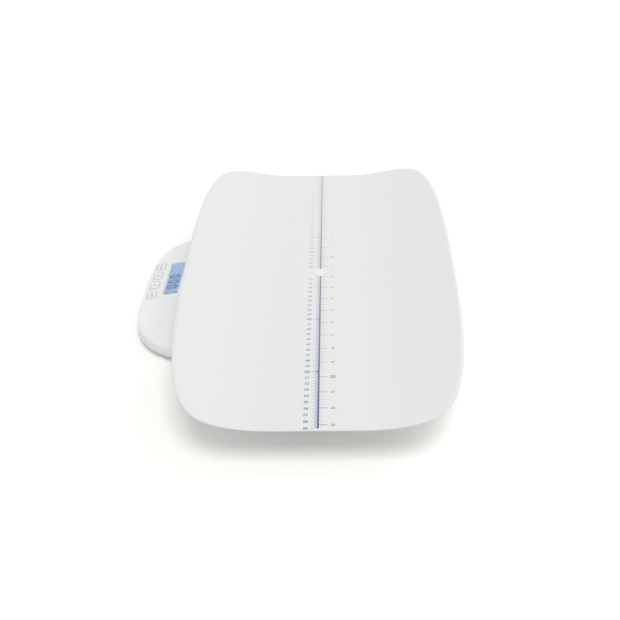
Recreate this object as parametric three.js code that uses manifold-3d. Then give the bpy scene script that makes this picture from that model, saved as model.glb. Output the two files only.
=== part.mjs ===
// Digital baby weighing scale: a moulded trough tray that lifts off a domed base.
// Millimetres, +Z up. X runs along the tray, the display and keys face -Y.
// Lengths below are measured from the middle of the tray; one group then moves
// everything so that the origin is the middle of the whole footprint, on the floor.

import * as THREE from 'three';
import { mergeVertices } from 'three/addons/utils/BufferGeometryUtils.js';
import Module from 'manifold-3d';

const wasm = await Module();
wasm.setup();

// Shared fits
const seat = 0.3;              // gap between pieces that rest on each other
const slip = 0.35;             // gap round a piece that slides or drops in
const overrun = 1;             // how far a cutting tool passes the face it cuts
const bite = 0.5;              // how far a joined rib or boss sinks into its wall

// Tray
const trayLength = 598;
const trayWidth = 328;
const trayWall = 3.6;
const trayFloorTop = 45;       // height of the lying surface above the floor
const trayRise = 24;           // how far the side rims stand above the lying surface
const trayFlatWidth = 92;      // level strip along the middle
const traySideSoftness = 80;   // larger values give a slower start to the side slope
const trayBarrelPower = 2.7;
const trayCornerPower = 9;
const trayTaper = 13.8;        // how much wider the head end is cut than the foot end
const trayEndShare = 0.996;    // where the end edge cuts the barrel outline
const trayEdgeRound = 1.4;
const trayRibWidth = 2.2;
const trayRibDepth = 6;
const trayLongRibGap = 100;
const trayLongRibLength = 420;
const trayCrossRibReach = 128;
const trayCrossRibPitch = 105;

// Tray hub, its screw and the cap over the screw
const capDiameter = 15.6;
const capRise = 0.8;
const capWall = 2;
const capDepth = 4.6;
const hubBossDiameter = 40;
const hubBossDepth = 3;
const hubFlangeDiameter = 58;
const hubFlangeThickness = 3;
const hubSpigotDiameter = 34;
const hubSpigotLength = 16;
const hubWall = 2.4;
const hubPostDiameter = 10;

// Base housing
const baseLength = 302;
const baseDepth = 343;
const baseMiddleX = -12;
const baseMiddleY = -54;
const basePower = 3.5;
const baseApexZ = 29.5;
const baseDomeDrop = 12;
const baseDomePower = 4;
const baseWall = 2.5;
const baseUnderZ = 5;
const baseSeamZ = 6.5;
const baseWidestZ = 8.5;
const baseSideTopZ = 16;
const baseSeamInset = 0.8;
const baseSideDraft = 1.2;     // how far the side leans in from its widest level to its top
const baseUnderInset = 4;
const baseEdgeRound = 3;
const floorThickness = 2.4;
const lipHeight = 1.6;
const lipThickness = 2.2;
const domeShares = [0.93, 0.86, 0.76, 0.62, 0.4];
const edgeTurnShares = [0.25, 0.6];

// Seats for the tray on the housing
const seatSpacingX = 160;
const seatSpacingY = 100;
const seatTopZ = 31;
const seatDiameter = 26;
const seatPadDiameter = 20;
const seatPadThickness = 2;
const socketWall = 2.5;
const socketDepth = 15.5;

// Display and keys
const headMiddleX = -26;
const windowLength = 79;
const windowWidth = 19;
const windowFromFront = 37.5;  // middle of the window, from the front of the base
const windowThickness = 1.4;
const windowSink = 0.2;
const windowLedge = 1.5;
const windowRound = 1.2;
const keyLength = 19;
const keyWidth = 12.6;
const keyPitch = 24;
const keyFromFront = 13.5;
const keyRound = 3;
const keyRise = 0.5;
const keyTravel = 0.8;
const keyFlange = 0.7;
const keyFlangeThickness = 0.9;
const keyFlangeTopZ = 15.9;
const keyStemDiameter = 4;
const keyNames = ['power', 'tare', 'hold', 'unit'];

// Main board and what it carries
const boardLength = 100;
const boardWidth = 48.5;
const boardFromFront = 7.5;
const boardThickness = 1.6;
const boardUnderZ = 8.4;
const boardRound = 3;
const boardPostDiameter = 6;
const boardScrewInset = 4.5;
const lcdLength = 83;
const lcdWidth = 21.5;
const lcdThickness = 2.8;
const backlightThickness = 6.2;
const backlightInset = 1;
const switchSize = 6;
const switchHeight = 2.7;
const plungerDiameter = 3.4;
const plungerLength = 2.2;
const plungerStandOut = 1;
const connectorLength = 30;
const connectorWidth = 4.6;
const connectorHeight = 5;
const leadDiameter = 1.6;

// Feet and load cells
const footInsetX = 54;
const footInsetY = 59.5;
const footDiameter = 39;
const footNeckDiameter = 30;
const footPadDiameter = 34;
const footPadThickness = 2;
const footTopZ = 9;
const footRecessDiameter = 45;
const footRecessTopZ = 11.1;
const cellSize = 30;
const cellThickness = 1.5;
const cellSlot = 1.6;
const cellTongueWidth = 10;
const cellTongueLength = 18;

// Batteries and their compartment
const batteryDiameter = 14.2;
const batteryLength = 49.2;
const batteryNubLength = 1.2;
const batteryNubDiameter = 5.4;
const batteryPitch = 14.9;
const batteryCount = 4;
const compartmentWall = 1.6;
const compartmentFromMiddle = 41;
const contactThickness = 0.5;
const contactHeight = 9;
const contactSpringHeight = 3.4;
const contactSpringDiameter = 6;
const contactBumpHeight = 2.2;
const doorThickness = 1.8;
const doorLap = 3;
const doorTravel = 60;
const doorFlare = 0.8;
const doorGripWidth = 1.6;
const doorGripLength = 26;
const doorGripPitch = 4;
const doorGripDepth = 0.6;
const doorGripCount = 4;

// Screws
const screwDiameter = 2.8;
const screwLength = 12;
const screwHeadDiameter = 5.6;
const screwHeadHeight = 2;
const screwBossDiameter = 8.4;
const screwPostTopZ = 10.2;
const boardScrewLength = 2.7;
const boardScrewHeadHeight = 1.5;
const hubScrewDiameter = 4;
const hubScrewLength = 12;
const hubScrewHeadDiameter = 8.4;
const hubScrewHeadHeight = 2.6;
const sideScrewInset = 28;
const frontScrewInsetX = 66;
const frontScrewInsetY = 28.5;
const backScrewInsetX = 88;
const backScrewInsetY = 26.5;

// Facets
const outlineSteps = 48;
const traySpans = 18;
const trayStations = 9;
const roundSides = 18;
const smallSides = 8;
const leadSides = 3;
const leadSteps = 3;
const cornerSteps = 2;

// Worked out from the sizes above
const baseFrontY = baseMiddleY - baseDepth / 2;
const baseBackY = baseMiddleY + baseDepth / 2;
const windowY = baseFrontY + windowFromFront;
const keyY = baseFrontY + keyFromFront;
const boardFrontY = baseFrontY + boardFromFront;
const boardBackY = boardFrontY + boardWidth;
const compartmentY = baseMiddleY - compartmentFromMiddle;
const contactDepth = contactSpringHeight + contactBumpHeight + 2 * contactThickness;
const compartmentLength = batteryLength + batteryNubLength + contactDepth + 6 * seat;
const trayHalfWidth = trayWidth / 2;
const trayUnderZ = trayFloorTop - trayWall;
const capRecessZ = trayFloorTop + capRise - capWall - capDepth + capWall - seat;
const hubBossUnderZ = trayUnderZ - hubBossDepth;
const hubTopZ = hubBossUnderZ - seat;
const hubFlangeUnderZ = hubTopZ - hubFlangeThickness;
const hubUnderZ = hubFlangeUnderZ - hubSpigotLength;
const seatUnderTrayZ = seatTopZ + seatPadThickness + 2 * seat;
const boardTopZ = boardUnderZ + boardThickness;
const partsZ = boardTopZ + seat;
const switchTopZ = partsZ + switchHeight;
const plungerTopZ = switchTopZ + plungerStandOut;
const keyStemUnderZ = plungerTopZ + seat;
const keyFlangeUnderZ = keyFlangeTopZ - keyFlangeThickness;
const lcdUnderZ = partsZ + backlightThickness + seat;
const floorTopZ = baseUnderZ + floorThickness;
const doorTopZ = baseUnderZ + doorThickness;
const channelTopZ = doorTopZ + seat;
const batteryUnderZ = channelTopZ + seat;
const batteryMiddleZ = batteryUnderZ + batteryDiameter / 2;
const compartmentTopZ = batteryUnderZ + batteryDiameter + seat;
const compartmentWidth = batteryPitch * (batteryCount - 1) + batteryDiameter + 2 * slip;
const doorLength = compartmentLength + 2 * doorLap;
const doorWidth = compartmentWidth + 2 * doorLap;
const cellUnderZ = footTopZ + seat;
const footPans = [];
for (const sideX of [-1, 1]) {
  for (const sideY of [-1, 1]) {
    const x = baseMiddleX + sideX * (baseLength / 2 - footInsetX);
    footPans.push([x, baseMiddleY + sideY * (baseDepth / 2 - footInsetY)]);
  }
}
const screwSpots = [];
for (const side of [-1, 1]) {
  const edgeX = baseMiddleX + side * baseLength / 2;
  screwSpots.push([edgeX - side * frontScrewInsetX, baseFrontY + frontScrewInsetY]);
  screwSpots.push([edgeX - side * sideScrewInset, baseMiddleY]);
  screwSpots.push([edgeX - side * backScrewInsetX, baseBackY - backScrewInsetY]);
}

// Materials
function plastic(colour, roughness) {
  return new THREE.MeshStandardMaterial({ color: colour, roughness, metalness: 0 });
}

function metal(colour, roughness) {
  return new THREE.MeshStandardMaterial({ color: colour, roughness, metalness: 1 });
}

const trayWhite = plastic(0xe9eae8, 0.35);
const housingWhite = plastic(0xe6e8ea, 0.3);
const keyWhite = plastic(0xeceef0, 0.35);
const switchBlack = plastic(0x26282b, 0.5);
const boardGreen = plastic(0x2d6b45, 0.45);
const rubberGrey = plastic(0x8f9294, 0.85);
const lcdBlue = plastic(0x96b9e1, 0.2);
const backlightWhite = plastic(0xdfe9f4, 0.4);
const windowClear = plastic(0xd8e4f2, 0.08);
const batterySleeve = plastic(0x4a5560, 0.4);
const leadGrey = plastic(0x9a9da0, 0.5);
const steel = metal(0xb9bcc0, 0.35);
const contactSteel = metal(0xc9cbce, 0.3);

// Solids from three.js geometry and back
function solidOf(geometry) {
  const bare = geometry.clone();
  bare.deleteAttribute('normal');
  bare.deleteAttribute('uv');
  const merged = mergeVertices(bare, 1e-4);
  const vertProperties = new Float32Array(merged.attributes.position.array);
  const triVerts = new Uint32Array(merged.index.array);
  return new wasm.Manifold(new wasm.Mesh({ numProp: 3, vertProperties, triVerts }));
}

function geometryOf(solid) {
  const { vertProperties, triVerts } = solid.getMesh();
  const geometry = new THREE.BufferGeometry();
  geometry.setAttribute('position', new THREE.BufferAttribute(new Float32Array(vertProperties), 3));
  geometry.setIndex(new THREE.BufferAttribute(new Uint32Array(triVerts), 1));
  geometry.computeVertexNormals();
  return geometry;
}

function join(first, ...others) {
  return others.reduce((whole, piece) => whole.add(piece), first);
}

function cut(body, ...tools) {
  return tools.reduce((whole, tool) => whole.subtract(tool), body);
}

// Closed mesh from rings with the same number of points, ends closed by fans
function loft(rings) {
  const count = rings[0].length;
  const positions = [];
  for (const ring of rings) {
    for (const point of ring) positions.push(point.x, point.y, point.z);
  }
  const index = [];
  for (let r = 0; r + 1 < rings.length; r += 1) {
    for (let i = 0; i < count; i += 1) {
      const a = r * count + i;
      const b = r * count + (i + 1) % count;
      index.push(a, b, b + count, a, b + count, a + count);
    }
  }
  const ends = [[0, true], [rings.length - 1, false]];
  for (const [r, first] of ends) {
    const middle = new THREE.Vector3();
    for (const point of rings[r]) middle.addScaledVector(point, 1 / count);
    const hub = positions.length / 3;
    positions.push(middle.x, middle.y, middle.z);
    for (let i = 0; i < count; i += 1) {
      const a = r * count + i;
      const b = r * count + (i + 1) % count;
      if (first) index.push(hub, b, a);
      else index.push(hub, a, b);
    }
  }
  const geometry = new THREE.BufferGeometry();
  geometry.setAttribute('position', new THREE.BufferAttribute(new Float32Array(positions), 3));
  geometry.setIndex(index);
  return solidOf(geometry);
}

// Simple solids, each placed by its middle and its lowest and highest level
function roundedShape(length, width, radius) {
  const x = length / 2;
  const y = width / 2;
  const shape = new THREE.Shape();
  shape.moveTo(radius - x, -y);
  shape.lineTo(x - radius, -y);
  shape.absarc(x - radius, radius - y, radius, -Math.PI / 2, 0);
  shape.lineTo(x, y - radius);
  shape.absarc(x - radius, y - radius, radius, 0, Math.PI / 2);
  shape.lineTo(radius - x, y);
  shape.absarc(radius - x, y - radius, radius, Math.PI / 2, Math.PI);
  shape.lineTo(-x, radius - y);
  shape.absarc(radius - x, radius - y, radius, Math.PI, 1.5 * Math.PI);
  return shape;
}

function prism(shape, x, y, low, high) {
  const options = { depth: high - low, bevelEnabled: false, curveSegments: cornerSteps };
  const geometry = new THREE.ExtrudeGeometry(shape, options);
  geometry.translate(x, y, low);
  return solidOf(geometry);
}

function block(length, width, x, y, low, high) {
  const geometry = new THREE.BoxGeometry(length, width, high - low);
  geometry.translate(x, y, (low + high) / 2);
  return solidOf(geometry);
}

function disc(diameter, x, y, low, high, sides = roundSides) {
  const geometry = new THREE.CylinderGeometry(diameter / 2, diameter / 2, high - low, sides);
  geometry.rotateX(Math.PI / 2);
  geometry.translate(x, y, (low + high) / 2);
  return solidOf(geometry);
}

// A turned solid about Z from [radius, height] pairs that start and end on the axis
function turned(profile, sides = roundSides) {
  const points = profile.map(([radius, height]) => new THREE.Vector2(radius, height));
  const geometry = new THREE.LatheGeometry(points, sides);
  geometry.rotateX(Math.PI / 2);
  return solidOf(geometry);
}

// Superellipse outline whose points share out its length and its turning evenly
function superellipse(halfX, halfY, power, count) {
  const fine = [];
  const fineCount = count * 24;
  for (let i = 0; i <= fineCount; i += 1) {
    const angle = 2 * Math.PI * i / fineCount;
    const c = Math.cos(angle);
    const s = Math.sin(angle);
    const x = halfX * Math.sign(c) * Math.abs(c) ** (2 / power);
    const y = halfY * Math.sign(s) * Math.abs(s) ** (2 / power);
    fine.push(new THREE.Vector2(x, y));
  }
  const lengths = fine.slice(1).map((point, i) => point.distanceTo(fine[i]));
  const total = lengths.reduce((sum, length) => sum + length, 0);
  const headings = fine.slice(1).map((point, i) => Math.atan2(point.y - fine[i].y, point.x - fine[i].x));
  const along = [0];
  for (let i = 0; i < fineCount; i += 1) {
    const turn = headings[i] - headings[(i + fineCount - 1) % fineCount];
    const turnShare = Math.abs(Math.atan2(Math.sin(turn), Math.cos(turn))) / (2 * Math.PI);
    along.push(along[i] + lengths[i] / total + turnShare);
  }
  const points = [];
  let k = 0;
  for (let i = 0; i < count; i += 1) {
    const target = along[fineCount] * i / count;
    while (along[k + 1] < target) k += 1;
    const share = (target - along[k]) / (along[k + 1] - along[k]);
    points.push(fine[k].clone().lerp(fine[k + 1], share));
  }
  return points;
}

const unitOutline = superellipse(1, baseDepth / baseLength, basePower, outlineSteps);

// Ring of the base outline with its half-length given, at one height
function baseRing(halfLength, z) {
  return unitOutline.map((point) => (
    new THREE.Vector3(baseMiddleX + point.x * halfLength, baseMiddleY + point.y * halfLength, z)));
}

function insetRing(inset, z) {
  return baseRing(baseLength / 2 - inset, z);
}

function domeZ(share) {
  return baseApexZ - baseDomeDrop * share ** baseDomePower;
}

// Share of the way from the middle of the base to its outline
function baseShare(x, y) {
  const shareX = Math.abs(x - baseMiddleX) / (baseLength / 2);
  const shareY = Math.abs(y - baseMiddleY) / (baseDepth / 2);
  return (shareX ** basePower + shareY ** basePower) ** (1 / basePower);
}

// The base as one solid, grown or shrunk by an offset, from a given level up
function baseSolid(offset, underZ) {
  const rings = [];
  rings.push(insetRing(baseSeamInset - offset, underZ));
  if (underZ < baseSeamZ) rings.push(insetRing(baseSeamInset - offset, baseSeamZ));
  rings.push(insetRing(-offset, baseWidestZ));
  rings.push(insetRing(baseSideDraft - offset, baseSideTopZ));
  const turnTop = 1 - 2 * (baseSideDraft + baseEdgeRound) / baseLength;
  const turnHeight = domeZ(turnTop) - baseSideTopZ;
  for (const share of edgeTurnShares) {
    const angle = share * Math.PI / 2;
    const inset = baseSideDraft + baseEdgeRound * (1 - Math.cos(angle));
    rings.push(insetRing(inset - offset, baseSideTopZ + turnHeight * Math.sin(angle) + offset * share));
  }
  rings.push(baseRing(turnTop * (baseLength / 2 + offset), domeZ(turnTop) + offset));
  for (const share of domeShares) {
    rings.push(baseRing(share * (baseLength / 2 + offset), domeZ(share) + offset));
  }
  return loft(rings);
}

// Tray
function trayLift(y) {
  const reach = Math.max(Math.abs(y) - trayFlatWidth / 2, 0) / traySideSoftness;
  const full = (trayHalfWidth - trayFlatWidth / 2) / traySideSoftness;
  return trayRise * (Math.hypot(1, reach) - 1) / (Math.hypot(1, full) - 1);
}

function trayReach(x) {
  const share = trayEndShare * Math.abs(x) / (trayLength / 2);
  const half = trayHalfWidth - trayTaper * x / trayLength;
  return half * (1 - share ** trayBarrelPower) ** (1 / trayCornerPower);
}

// One slice of the tray: along the top, round the right edge, back underneath
function traySlice(x, thickness) {
  const reach = trayReach(x);
  const mid = trayFloorTop - trayWall / 2;
  const top = [];
  const under = [];
  for (let i = 0; i <= traySpans; i += 1) {
    const y = (2 * i / traySpans - 1) * (reach - trayEdgeRound);
    top.push(new THREE.Vector3(x, y, mid + thickness / 2 + trayLift(y)));
    under.unshift(new THREE.Vector3(x, y, mid - thickness / 2 + trayLift(y)));
  }
  const right = new THREE.Vector3(x, reach, mid + trayLift(reach));
  const left = new THREE.Vector3(x, -reach, mid + trayLift(reach));
  return [...top, right, ...under, left];
}

// Places along the tray where it is sliced, closer together towards both ends
function trayStationXs() {
  const inner = trayLength / 2 - trayEdgeRound;
  const xs = [];
  for (let i = -trayStations; i <= trayStations; i += 1) {
    xs.push(inner * Math.sin(i / trayStations * Math.PI / 2));
  }
  return xs;
}

function trayShell() {
  const slices = [traySlice(-trayLength / 2, trayWall / 3)];
  for (const x of trayStationXs()) slices.push(traySlice(x, trayWall));
  slices.push(traySlice(trayLength / 2, trayWall / 3));
  const count = slices[0].length;
  const positions = [];
  for (const slice of slices) {
    for (const point of slice) positions.push(point.x, point.y, point.z);
  }
  const index = [];
  for (let s = 0; s + 1 < slices.length; s += 1) {
    for (let i = 0; i < count; i += 1) {
      const a = s * count + i;
      const b = s * count + (i + 1) % count;
      index.push(a, b + count, b, a, a + count, b + count);
    }
  }
  const lastTop = traySpans;
  for (const [start, front] of [[0, true], [(slices.length - 1) * count, false]]) {
    const faces = [];
    for (let i = 0; i < lastTop; i += 1) {
      const below = count - 2 - i;
      faces.push([start + i, start + i + 1, start + below - 1]);
      faces.push([start + i, start + below - 1, start + below]);
    }
    faces.push([start + lastTop, start + lastTop + 1, start + lastTop + 2]);
    faces.push([start + count - 2, start + count - 1, start]);
    for (const [a, b, c] of faces) {
      if (front) index.push(a, b, c);
      else index.push(a, c, b);
    }
  }
  const geometry = new THREE.BufferGeometry();
  geometry.setAttribute('position', new THREE.BufferAttribute(new Float32Array(positions), 3));
  geometry.setIndex(index);
  return solidOf(geometry);
}

// Rib across the trough: it hangs under the sides and fades out before the rim
function trayCrossRib(x) {
  const upper = [];
  const lower = [];
  for (let i = 0; i <= traySpans; i += 1) {
    const share = 2 * i / traySpans - 1;
    const y = share * trayCrossRibReach;
    const underside = trayUnderZ + trayLift(y);
    const depth = trayRibDepth * (1 - share ** 4) + bite / 2;
    upper.push(new THREE.Vector2(y, underside + bite));
    lower.unshift(new THREE.Vector2(y, underside - depth));
  }
  const shape = new THREE.Shape([...upper, ...lower]);
  const geometry = new THREE.ExtrudeGeometry(shape, { depth: trayRibWidth, bevelEnabled: false });
  const turn = new THREE.Matrix4().makeBasis(
    new THREE.Vector3(0, 1, 0), new THREE.Vector3(0, 0, 1), new THREE.Vector3(1, 0, 0));
  geometry.applyMatrix4(turn);
  geometry.translate(x - trayRibWidth / 2, 0, 0);
  return solidOf(geometry);
}

function traySolid() {
  let solid = trayShell();
  const ribUnderZ = trayUnderZ - trayRibDepth;
  for (const side of [-1, 1]) {
    const y = side * trayLongRibGap / 2;
    solid = solid.add(block(trayLongRibLength, trayRibWidth, 0, y, ribUnderZ, trayUnderZ + bite));
  }
  for (const step of [-1.5, -0.5, 0.5, 1.5]) {
    solid = solid.add(trayCrossRib(step * trayCrossRibPitch));
  }
  solid = solid.add(disc(hubBossDiameter, 0, 0, hubBossUnderZ, trayUnderZ + bite));
  const seatRootZ = trayUnderZ + trayLift((seatSpacingY + seatDiameter) / 2) + bite;
  for (const sideX of [-1, 1]) {
    for (const sideY of [-1, 1]) {
      const x = sideX * seatSpacingX / 2;
      const y = sideY * seatSpacingY / 2;
      solid = solid.add(disc(seatDiameter, x, y, seatUnderTrayZ, seatRootZ));
    }
  }
  return cut(
    solid,
    disc(capDiameter + 2 * slip, 0, 0, capRecessZ, trayFloorTop + overrun),
    disc(hubScrewDiameter + 2 * slip, 0, 0, hubBossUnderZ - overrun, trayFloorTop, smallSides),
  );
}

// The hub under the tray: a flange, a hollow spigot for the socket and a screw post
function hubSolid() {
  const spigot = hubSpigotDiameter / 2;
  const shell = turned([
    [0, hubFlangeUnderZ], [spigot - hubWall, hubFlangeUnderZ],
    [spigot - hubWall, hubUnderZ], [spigot - hubWall / 3, hubUnderZ],
    [spigot, hubUnderZ + hubWall], [spigot, hubFlangeUnderZ],
    [hubFlangeDiameter / 2, hubFlangeUnderZ], [hubFlangeDiameter / 2, hubTopZ], [0, hubTopZ],
  ]);
  const postUnderZ = hubTopZ - hubScrewLength;
  return cut(
    shell.add(disc(hubPostDiameter, 0, 0, postUnderZ, hubFlangeUnderZ + bite)),
    disc(hubScrewDiameter + 2 * slip, 0, 0, postUnderZ - overrun, hubTopZ + overrun, smallSides),
  );
}

// Domed cap with a skirt that drops into the tray's recess round the screw head
function capSolid() {
  const radius = capDiameter / 2;
  const top = trayFloorTop + capRise;
  const shoulder = trayFloorTop + capRise / 3;
  const underTop = top - capWall;
  const under = top - capDepth;
  return turned([
    [0, underTop], [radius - capWall / 2, underTop], [radius - capWall / 2, under], [radius, under],
    [radius, shoulder], [radius - capWall / 2, top - capRise / 4], [0, top],
  ]);
}

// Screw with its head at height zero upwards, shank down, and a driver recess
function screwSolid(diameter, length, headDiameter, headHeight) {
  const head = headDiameter / 2;
  const shank = diameter / 2;
  return turned([
    [0, -length], [shank / 2, -length], [shank, -length + diameter / 2], [shank, 0], [head, 0],
    [head, headHeight / 2], [head * 0.7, headHeight], [head * 0.4, headHeight],
    [0, headHeight / 2],
  ], smallSides);
}

// Upper housing
function upperHousingSolid() {
  const outer = baseSolid(0, baseSeamZ);
  const inner = baseSolid(-baseWall, baseUnderZ);
  let solid = outer.subtract(inner);
  const socketUnderZ = baseApexZ - socketDepth;
  const socketOuter = hubSpigotDiameter + 2 * slip + 2 * socketWall;
  const bosses = [disc(socketOuter, 0, 0, socketUnderZ, baseApexZ)];
  for (const [x, y] of screwSpots) {
    bosses.push(disc(screwBossDiameter, x, y, screwPostTopZ + seat, baseApexZ, smallSides));
  }
  for (const boss of bosses) solid = solid.add(boss.intersect(outer));
  for (const sideX of [-1, 1]) {
    for (const sideY of [-1, 1]) {
      const x = sideX * seatSpacingX / 2;
      const y = sideY * seatSpacingY / 2;
      const low = domeZ(baseShare(x + Math.sign(x) * seatDiameter / 2, y)) - baseWall / 2;
      solid = solid.add(disc(seatDiameter, x, y, low - baseWall / 2, seatTopZ));
    }
  }
  const tools = [disc(hubSpigotDiameter + 2 * slip, 0, 0, socketUnderZ - overrun, baseApexZ + overrun)];
  for (const [x, y] of screwSpots) {
    const pilot = screwDiameter + 2 * slip;
    tools.push(disc(pilot, x, y, baseUnderZ, screwPostTopZ + screwLength, smallSides));
  }
  const windowShape = roundedShape(windowLength + 2 * slip, windowWidth + 2 * slip, windowRound);
  const windowSeat = baseSolid(-windowSink - windowThickness - seat, baseUnderZ);
  tools.push(prism(windowShape, headMiddleX, windowY, baseSideTopZ, baseApexZ).subtract(windowSeat));
  const view = roundedShape(windowLength - 2 * windowLedge, windowWidth - 2 * windowLedge, windowRound);
  tools.push(prism(view, headMiddleX, windowY, baseSideTopZ, baseApexZ));
  const keyHole = roundedShape(keyLength + 2 * slip, keyWidth + 2 * slip, keyRound);
  for (const x of keyXs()) tools.push(prism(keyHole, x, keyY, keyFlangeTopZ - overrun, baseApexZ));
  return cut(solid, ...tools);
}

function keyXs() {
  return keyNames.map((name, i) => headMiddleX + (i - (keyNames.length - 1) / 2) * keyPitch);
}

function windowSolid() {
  const shape = roundedShape(windowLength, windowWidth, windowRound);
  const plate = prism(shape, headMiddleX, windowY, baseSideTopZ, baseApexZ);
  const top = baseSolid(-windowSink, baseUnderZ);
  const under = baseSolid(-windowSink - windowThickness, baseUnderZ);
  return plate.intersect(top).subtract(under);
}

// A key: its cap follows the dome, with a flange that keeps it in the housing
function keySolid(x) {
  const capShape = roundedShape(keyLength, keyWidth, keyRound);
  const flangeShape = roundedShape(keyLength + 2 * keyFlange, keyWidth + 2 * keyFlange, keyRound);
  const cap = prism(capShape, x, keyY, keyFlangeUnderZ, baseApexZ).intersect(baseSolid(keyRise, baseUnderZ));
  const flange = prism(flangeShape, x, keyY, keyFlangeUnderZ, keyFlangeTopZ - slip);
  const stem = disc(keyStemDiameter, x, keyY, keyStemUnderZ, keyFlangeTopZ, smallSides);
  return join(cap, flange, stem);
}

// Lower housing: a shallow pan with the battery box, foot recesses and screw posts
function doorShape(gap, length) {
  const half = doorWidth / 2 + gap;
  const top = channelTopZ - (seat - gap);
  const shape = new THREE.Shape();
  shape.moveTo(doorFlare - half, baseUnderZ - gap);
  shape.lineTo(half - doorFlare, baseUnderZ - gap);
  shape.lineTo(half, top);
  shape.lineTo(-half, top);
  shape.closePath();
  const geometry = new THREE.ExtrudeGeometry(shape, { depth: length, bevelEnabled: false });
  const turn = new THREE.Matrix4().makeBasis(
    new THREE.Vector3(0, 1, 0), new THREE.Vector3(0, 0, 1), new THREE.Vector3(1, 0, 0));
  geometry.applyMatrix4(turn);
  geometry.translate(-doorLength / 2 - gap, compartmentY, 0);
  return solidOf(geometry);
}

function lowerHousingSolid() {
  const panTopZ = baseSeamZ - seat;
  const lipInset = baseSeamInset + baseWall + 2 * seat;
  const outside = loft([
    insetRing(baseUnderInset, baseUnderZ),
    insetRing((baseUnderInset + baseSeamInset) / 2, (baseUnderZ * 2 + panTopZ) / 3),
    insetRing(baseSeamInset + seat, panTopZ),
  ]);
  const lip = loft([insetRing(lipInset, baseUnderZ + bite), insetRing(lipInset, panTopZ + lipHeight)]);
  const hollowInset = lipInset + lipThickness;
  const hollow = loft([
    insetRing(hollowInset, floorTopZ),
    insetRing(hollowInset, panTopZ + lipHeight + overrun),
  ]);
  let solid = join(outside, lip).subtract(hollow);
  for (const [x, y] of footPans) {
    solid = solid.add(disc(
      footRecessDiameter + 2 * floorThickness, x, y, baseUnderZ, footRecessTopZ + floorThickness));
  }
  const boxLength = compartmentLength + 2 * compartmentWall;
  const boxWidth = compartmentWidth + 2 * compartmentWall;
  const boxTopZ = compartmentTopZ + compartmentWall;
  const channelLength = doorLength + doorTravel + 2 * floorThickness;
  const channelX = channelLength / 2 - doorLength / 2 - floorThickness;
  const channelWidth = doorWidth + 2 * floorThickness;
  const channelRoofZ = channelTopZ + floorThickness;
  solid = solid.add(block(channelLength, channelWidth, channelX, compartmentY, baseUnderZ, channelRoofZ));
  solid = solid.add(block(boxLength, boxWidth, 0, compartmentY, baseUnderZ, boxTopZ));
  for (const [x, y] of screwSpots) {
    solid = solid.add(disc(screwBossDiameter, x, y, baseUnderZ, screwPostTopZ, smallSides));
  }
  for (const [x, y] of boardPostSpots()) {
    solid = solid.add(disc(boardPostDiameter, x, y, floorTopZ - bite, boardUnderZ - seat, smallSides));
  }
  const tools = [
    doorShape(seat, doorLength + doorTravel + 2 * seat),
    block(compartmentLength, compartmentWidth, 0, compartmentY, baseUnderZ, compartmentTopZ),
    leadHole(),
  ];
  for (const [x, y] of footPans) {
    tools.push(disc(footRecessDiameter, x, y, baseUnderZ - overrun, footRecessTopZ));
    tools.push(cellLeadNotch(x, y));
  }
  for (const [x, y] of screwSpots) {
    const hole = screwDiameter + 2 * slip;
    const counterbore = screwHeadDiameter + 2 * slip;
    tools.push(disc(hole, x, y, baseUnderZ - overrun, screwPostTopZ + overrun, smallSides));
    tools.push(disc(counterbore, x, y, baseUnderZ - overrun, screwSeatZ() + seat, smallSides));
  }
  for (const [x, y] of boardPostSpots().slice(0, 2)) {
    const hole = screwDiameter + 2 * slip;
    tools.push(disc(hole, x, y, floorTopZ, boardUnderZ + overrun, smallSides));
  }
  return cut(solid, ...tools);
}

// Height of the face that a housing screw's head bears on
function screwSeatZ() {
  return baseUnderZ + screwHeadHeight + seat;
}

function boardPostSpots() {
  const x = boardLength / 2 - boardScrewInset;
  const back = boardBackY - boardScrewInset;
  const front = keyY + boardPostDiameter;
  return [
    [headMiddleX - x, back], [headMiddleX + x, back],
    [headMiddleX - x, front], [headMiddleX + x, front],
  ];
}

function leadHole() {
  const size = leadDiameter + 2 * slip;
  const x = -compartmentLength / 2 - compartmentWall / 2;
  const y = compartmentY - batteryPitch;
  return block(compartmentWall + 2 * overrun, size, x, y, batteryMiddleZ - size / 2, batteryMiddleZ + size / 2);
}

// Notch in a foot recess for the load cell's lead, on the side of the base's middle
function cellLeadNotch(x, y) {
  const middle = x - Math.sign(x) * footRecessDiameter / 2;
  const leadZ = cellUnderZ + leadDiameter / 2;
  const low = leadZ - leadDiameter;
  return block(4 * floorThickness, 3 * leadDiameter, middle, y, low, leadZ + leadDiameter);
}

// Main board with rounded corners, kept clear of the housing wall
function boardSolid() {
  const width = boardBackY - boardFrontY;
  const y = (boardBackY + boardFrontY) / 2;
  const shape = roundedShape(boardLength, width, boardRound);
  const keep = baseSeamInset + baseWall + slip;
  const room = loft([insetRing(keep, boardUnderZ - overrun), insetRing(keep, boardTopZ + overrun)]);
  const plate = prism(shape, headMiddleX, y, boardUnderZ, boardTopZ).intersect(room);
  const tools = [];
  for (const [postX, postY] of boardPostSpots().slice(0, 2)) {
    const hole = screwDiameter + 2 * slip;
    tools.push(disc(hole, postX, postY, boardUnderZ - overrun, boardTopZ + overrun, smallSides));
  }
  return cut(plate, ...tools);
}

function switchSolid() {
  return cut(
    block(switchSize, switchSize, 0, 0, 0, switchHeight),
    disc(plungerDiameter + 2 * slip, 0, 0, switchHeight - plungerLength - keyTravel, switchHeight + overrun, smallSides),
  );
}

function plungerSolid() {
  const radius = plungerDiameter / 2;
  return turned([
    [0, 0], [radius, 0], [radius, plungerLength - radius / 3],
    [radius - radius / 3, plungerLength], [0, plungerLength],
  ], smallSides);
}

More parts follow.
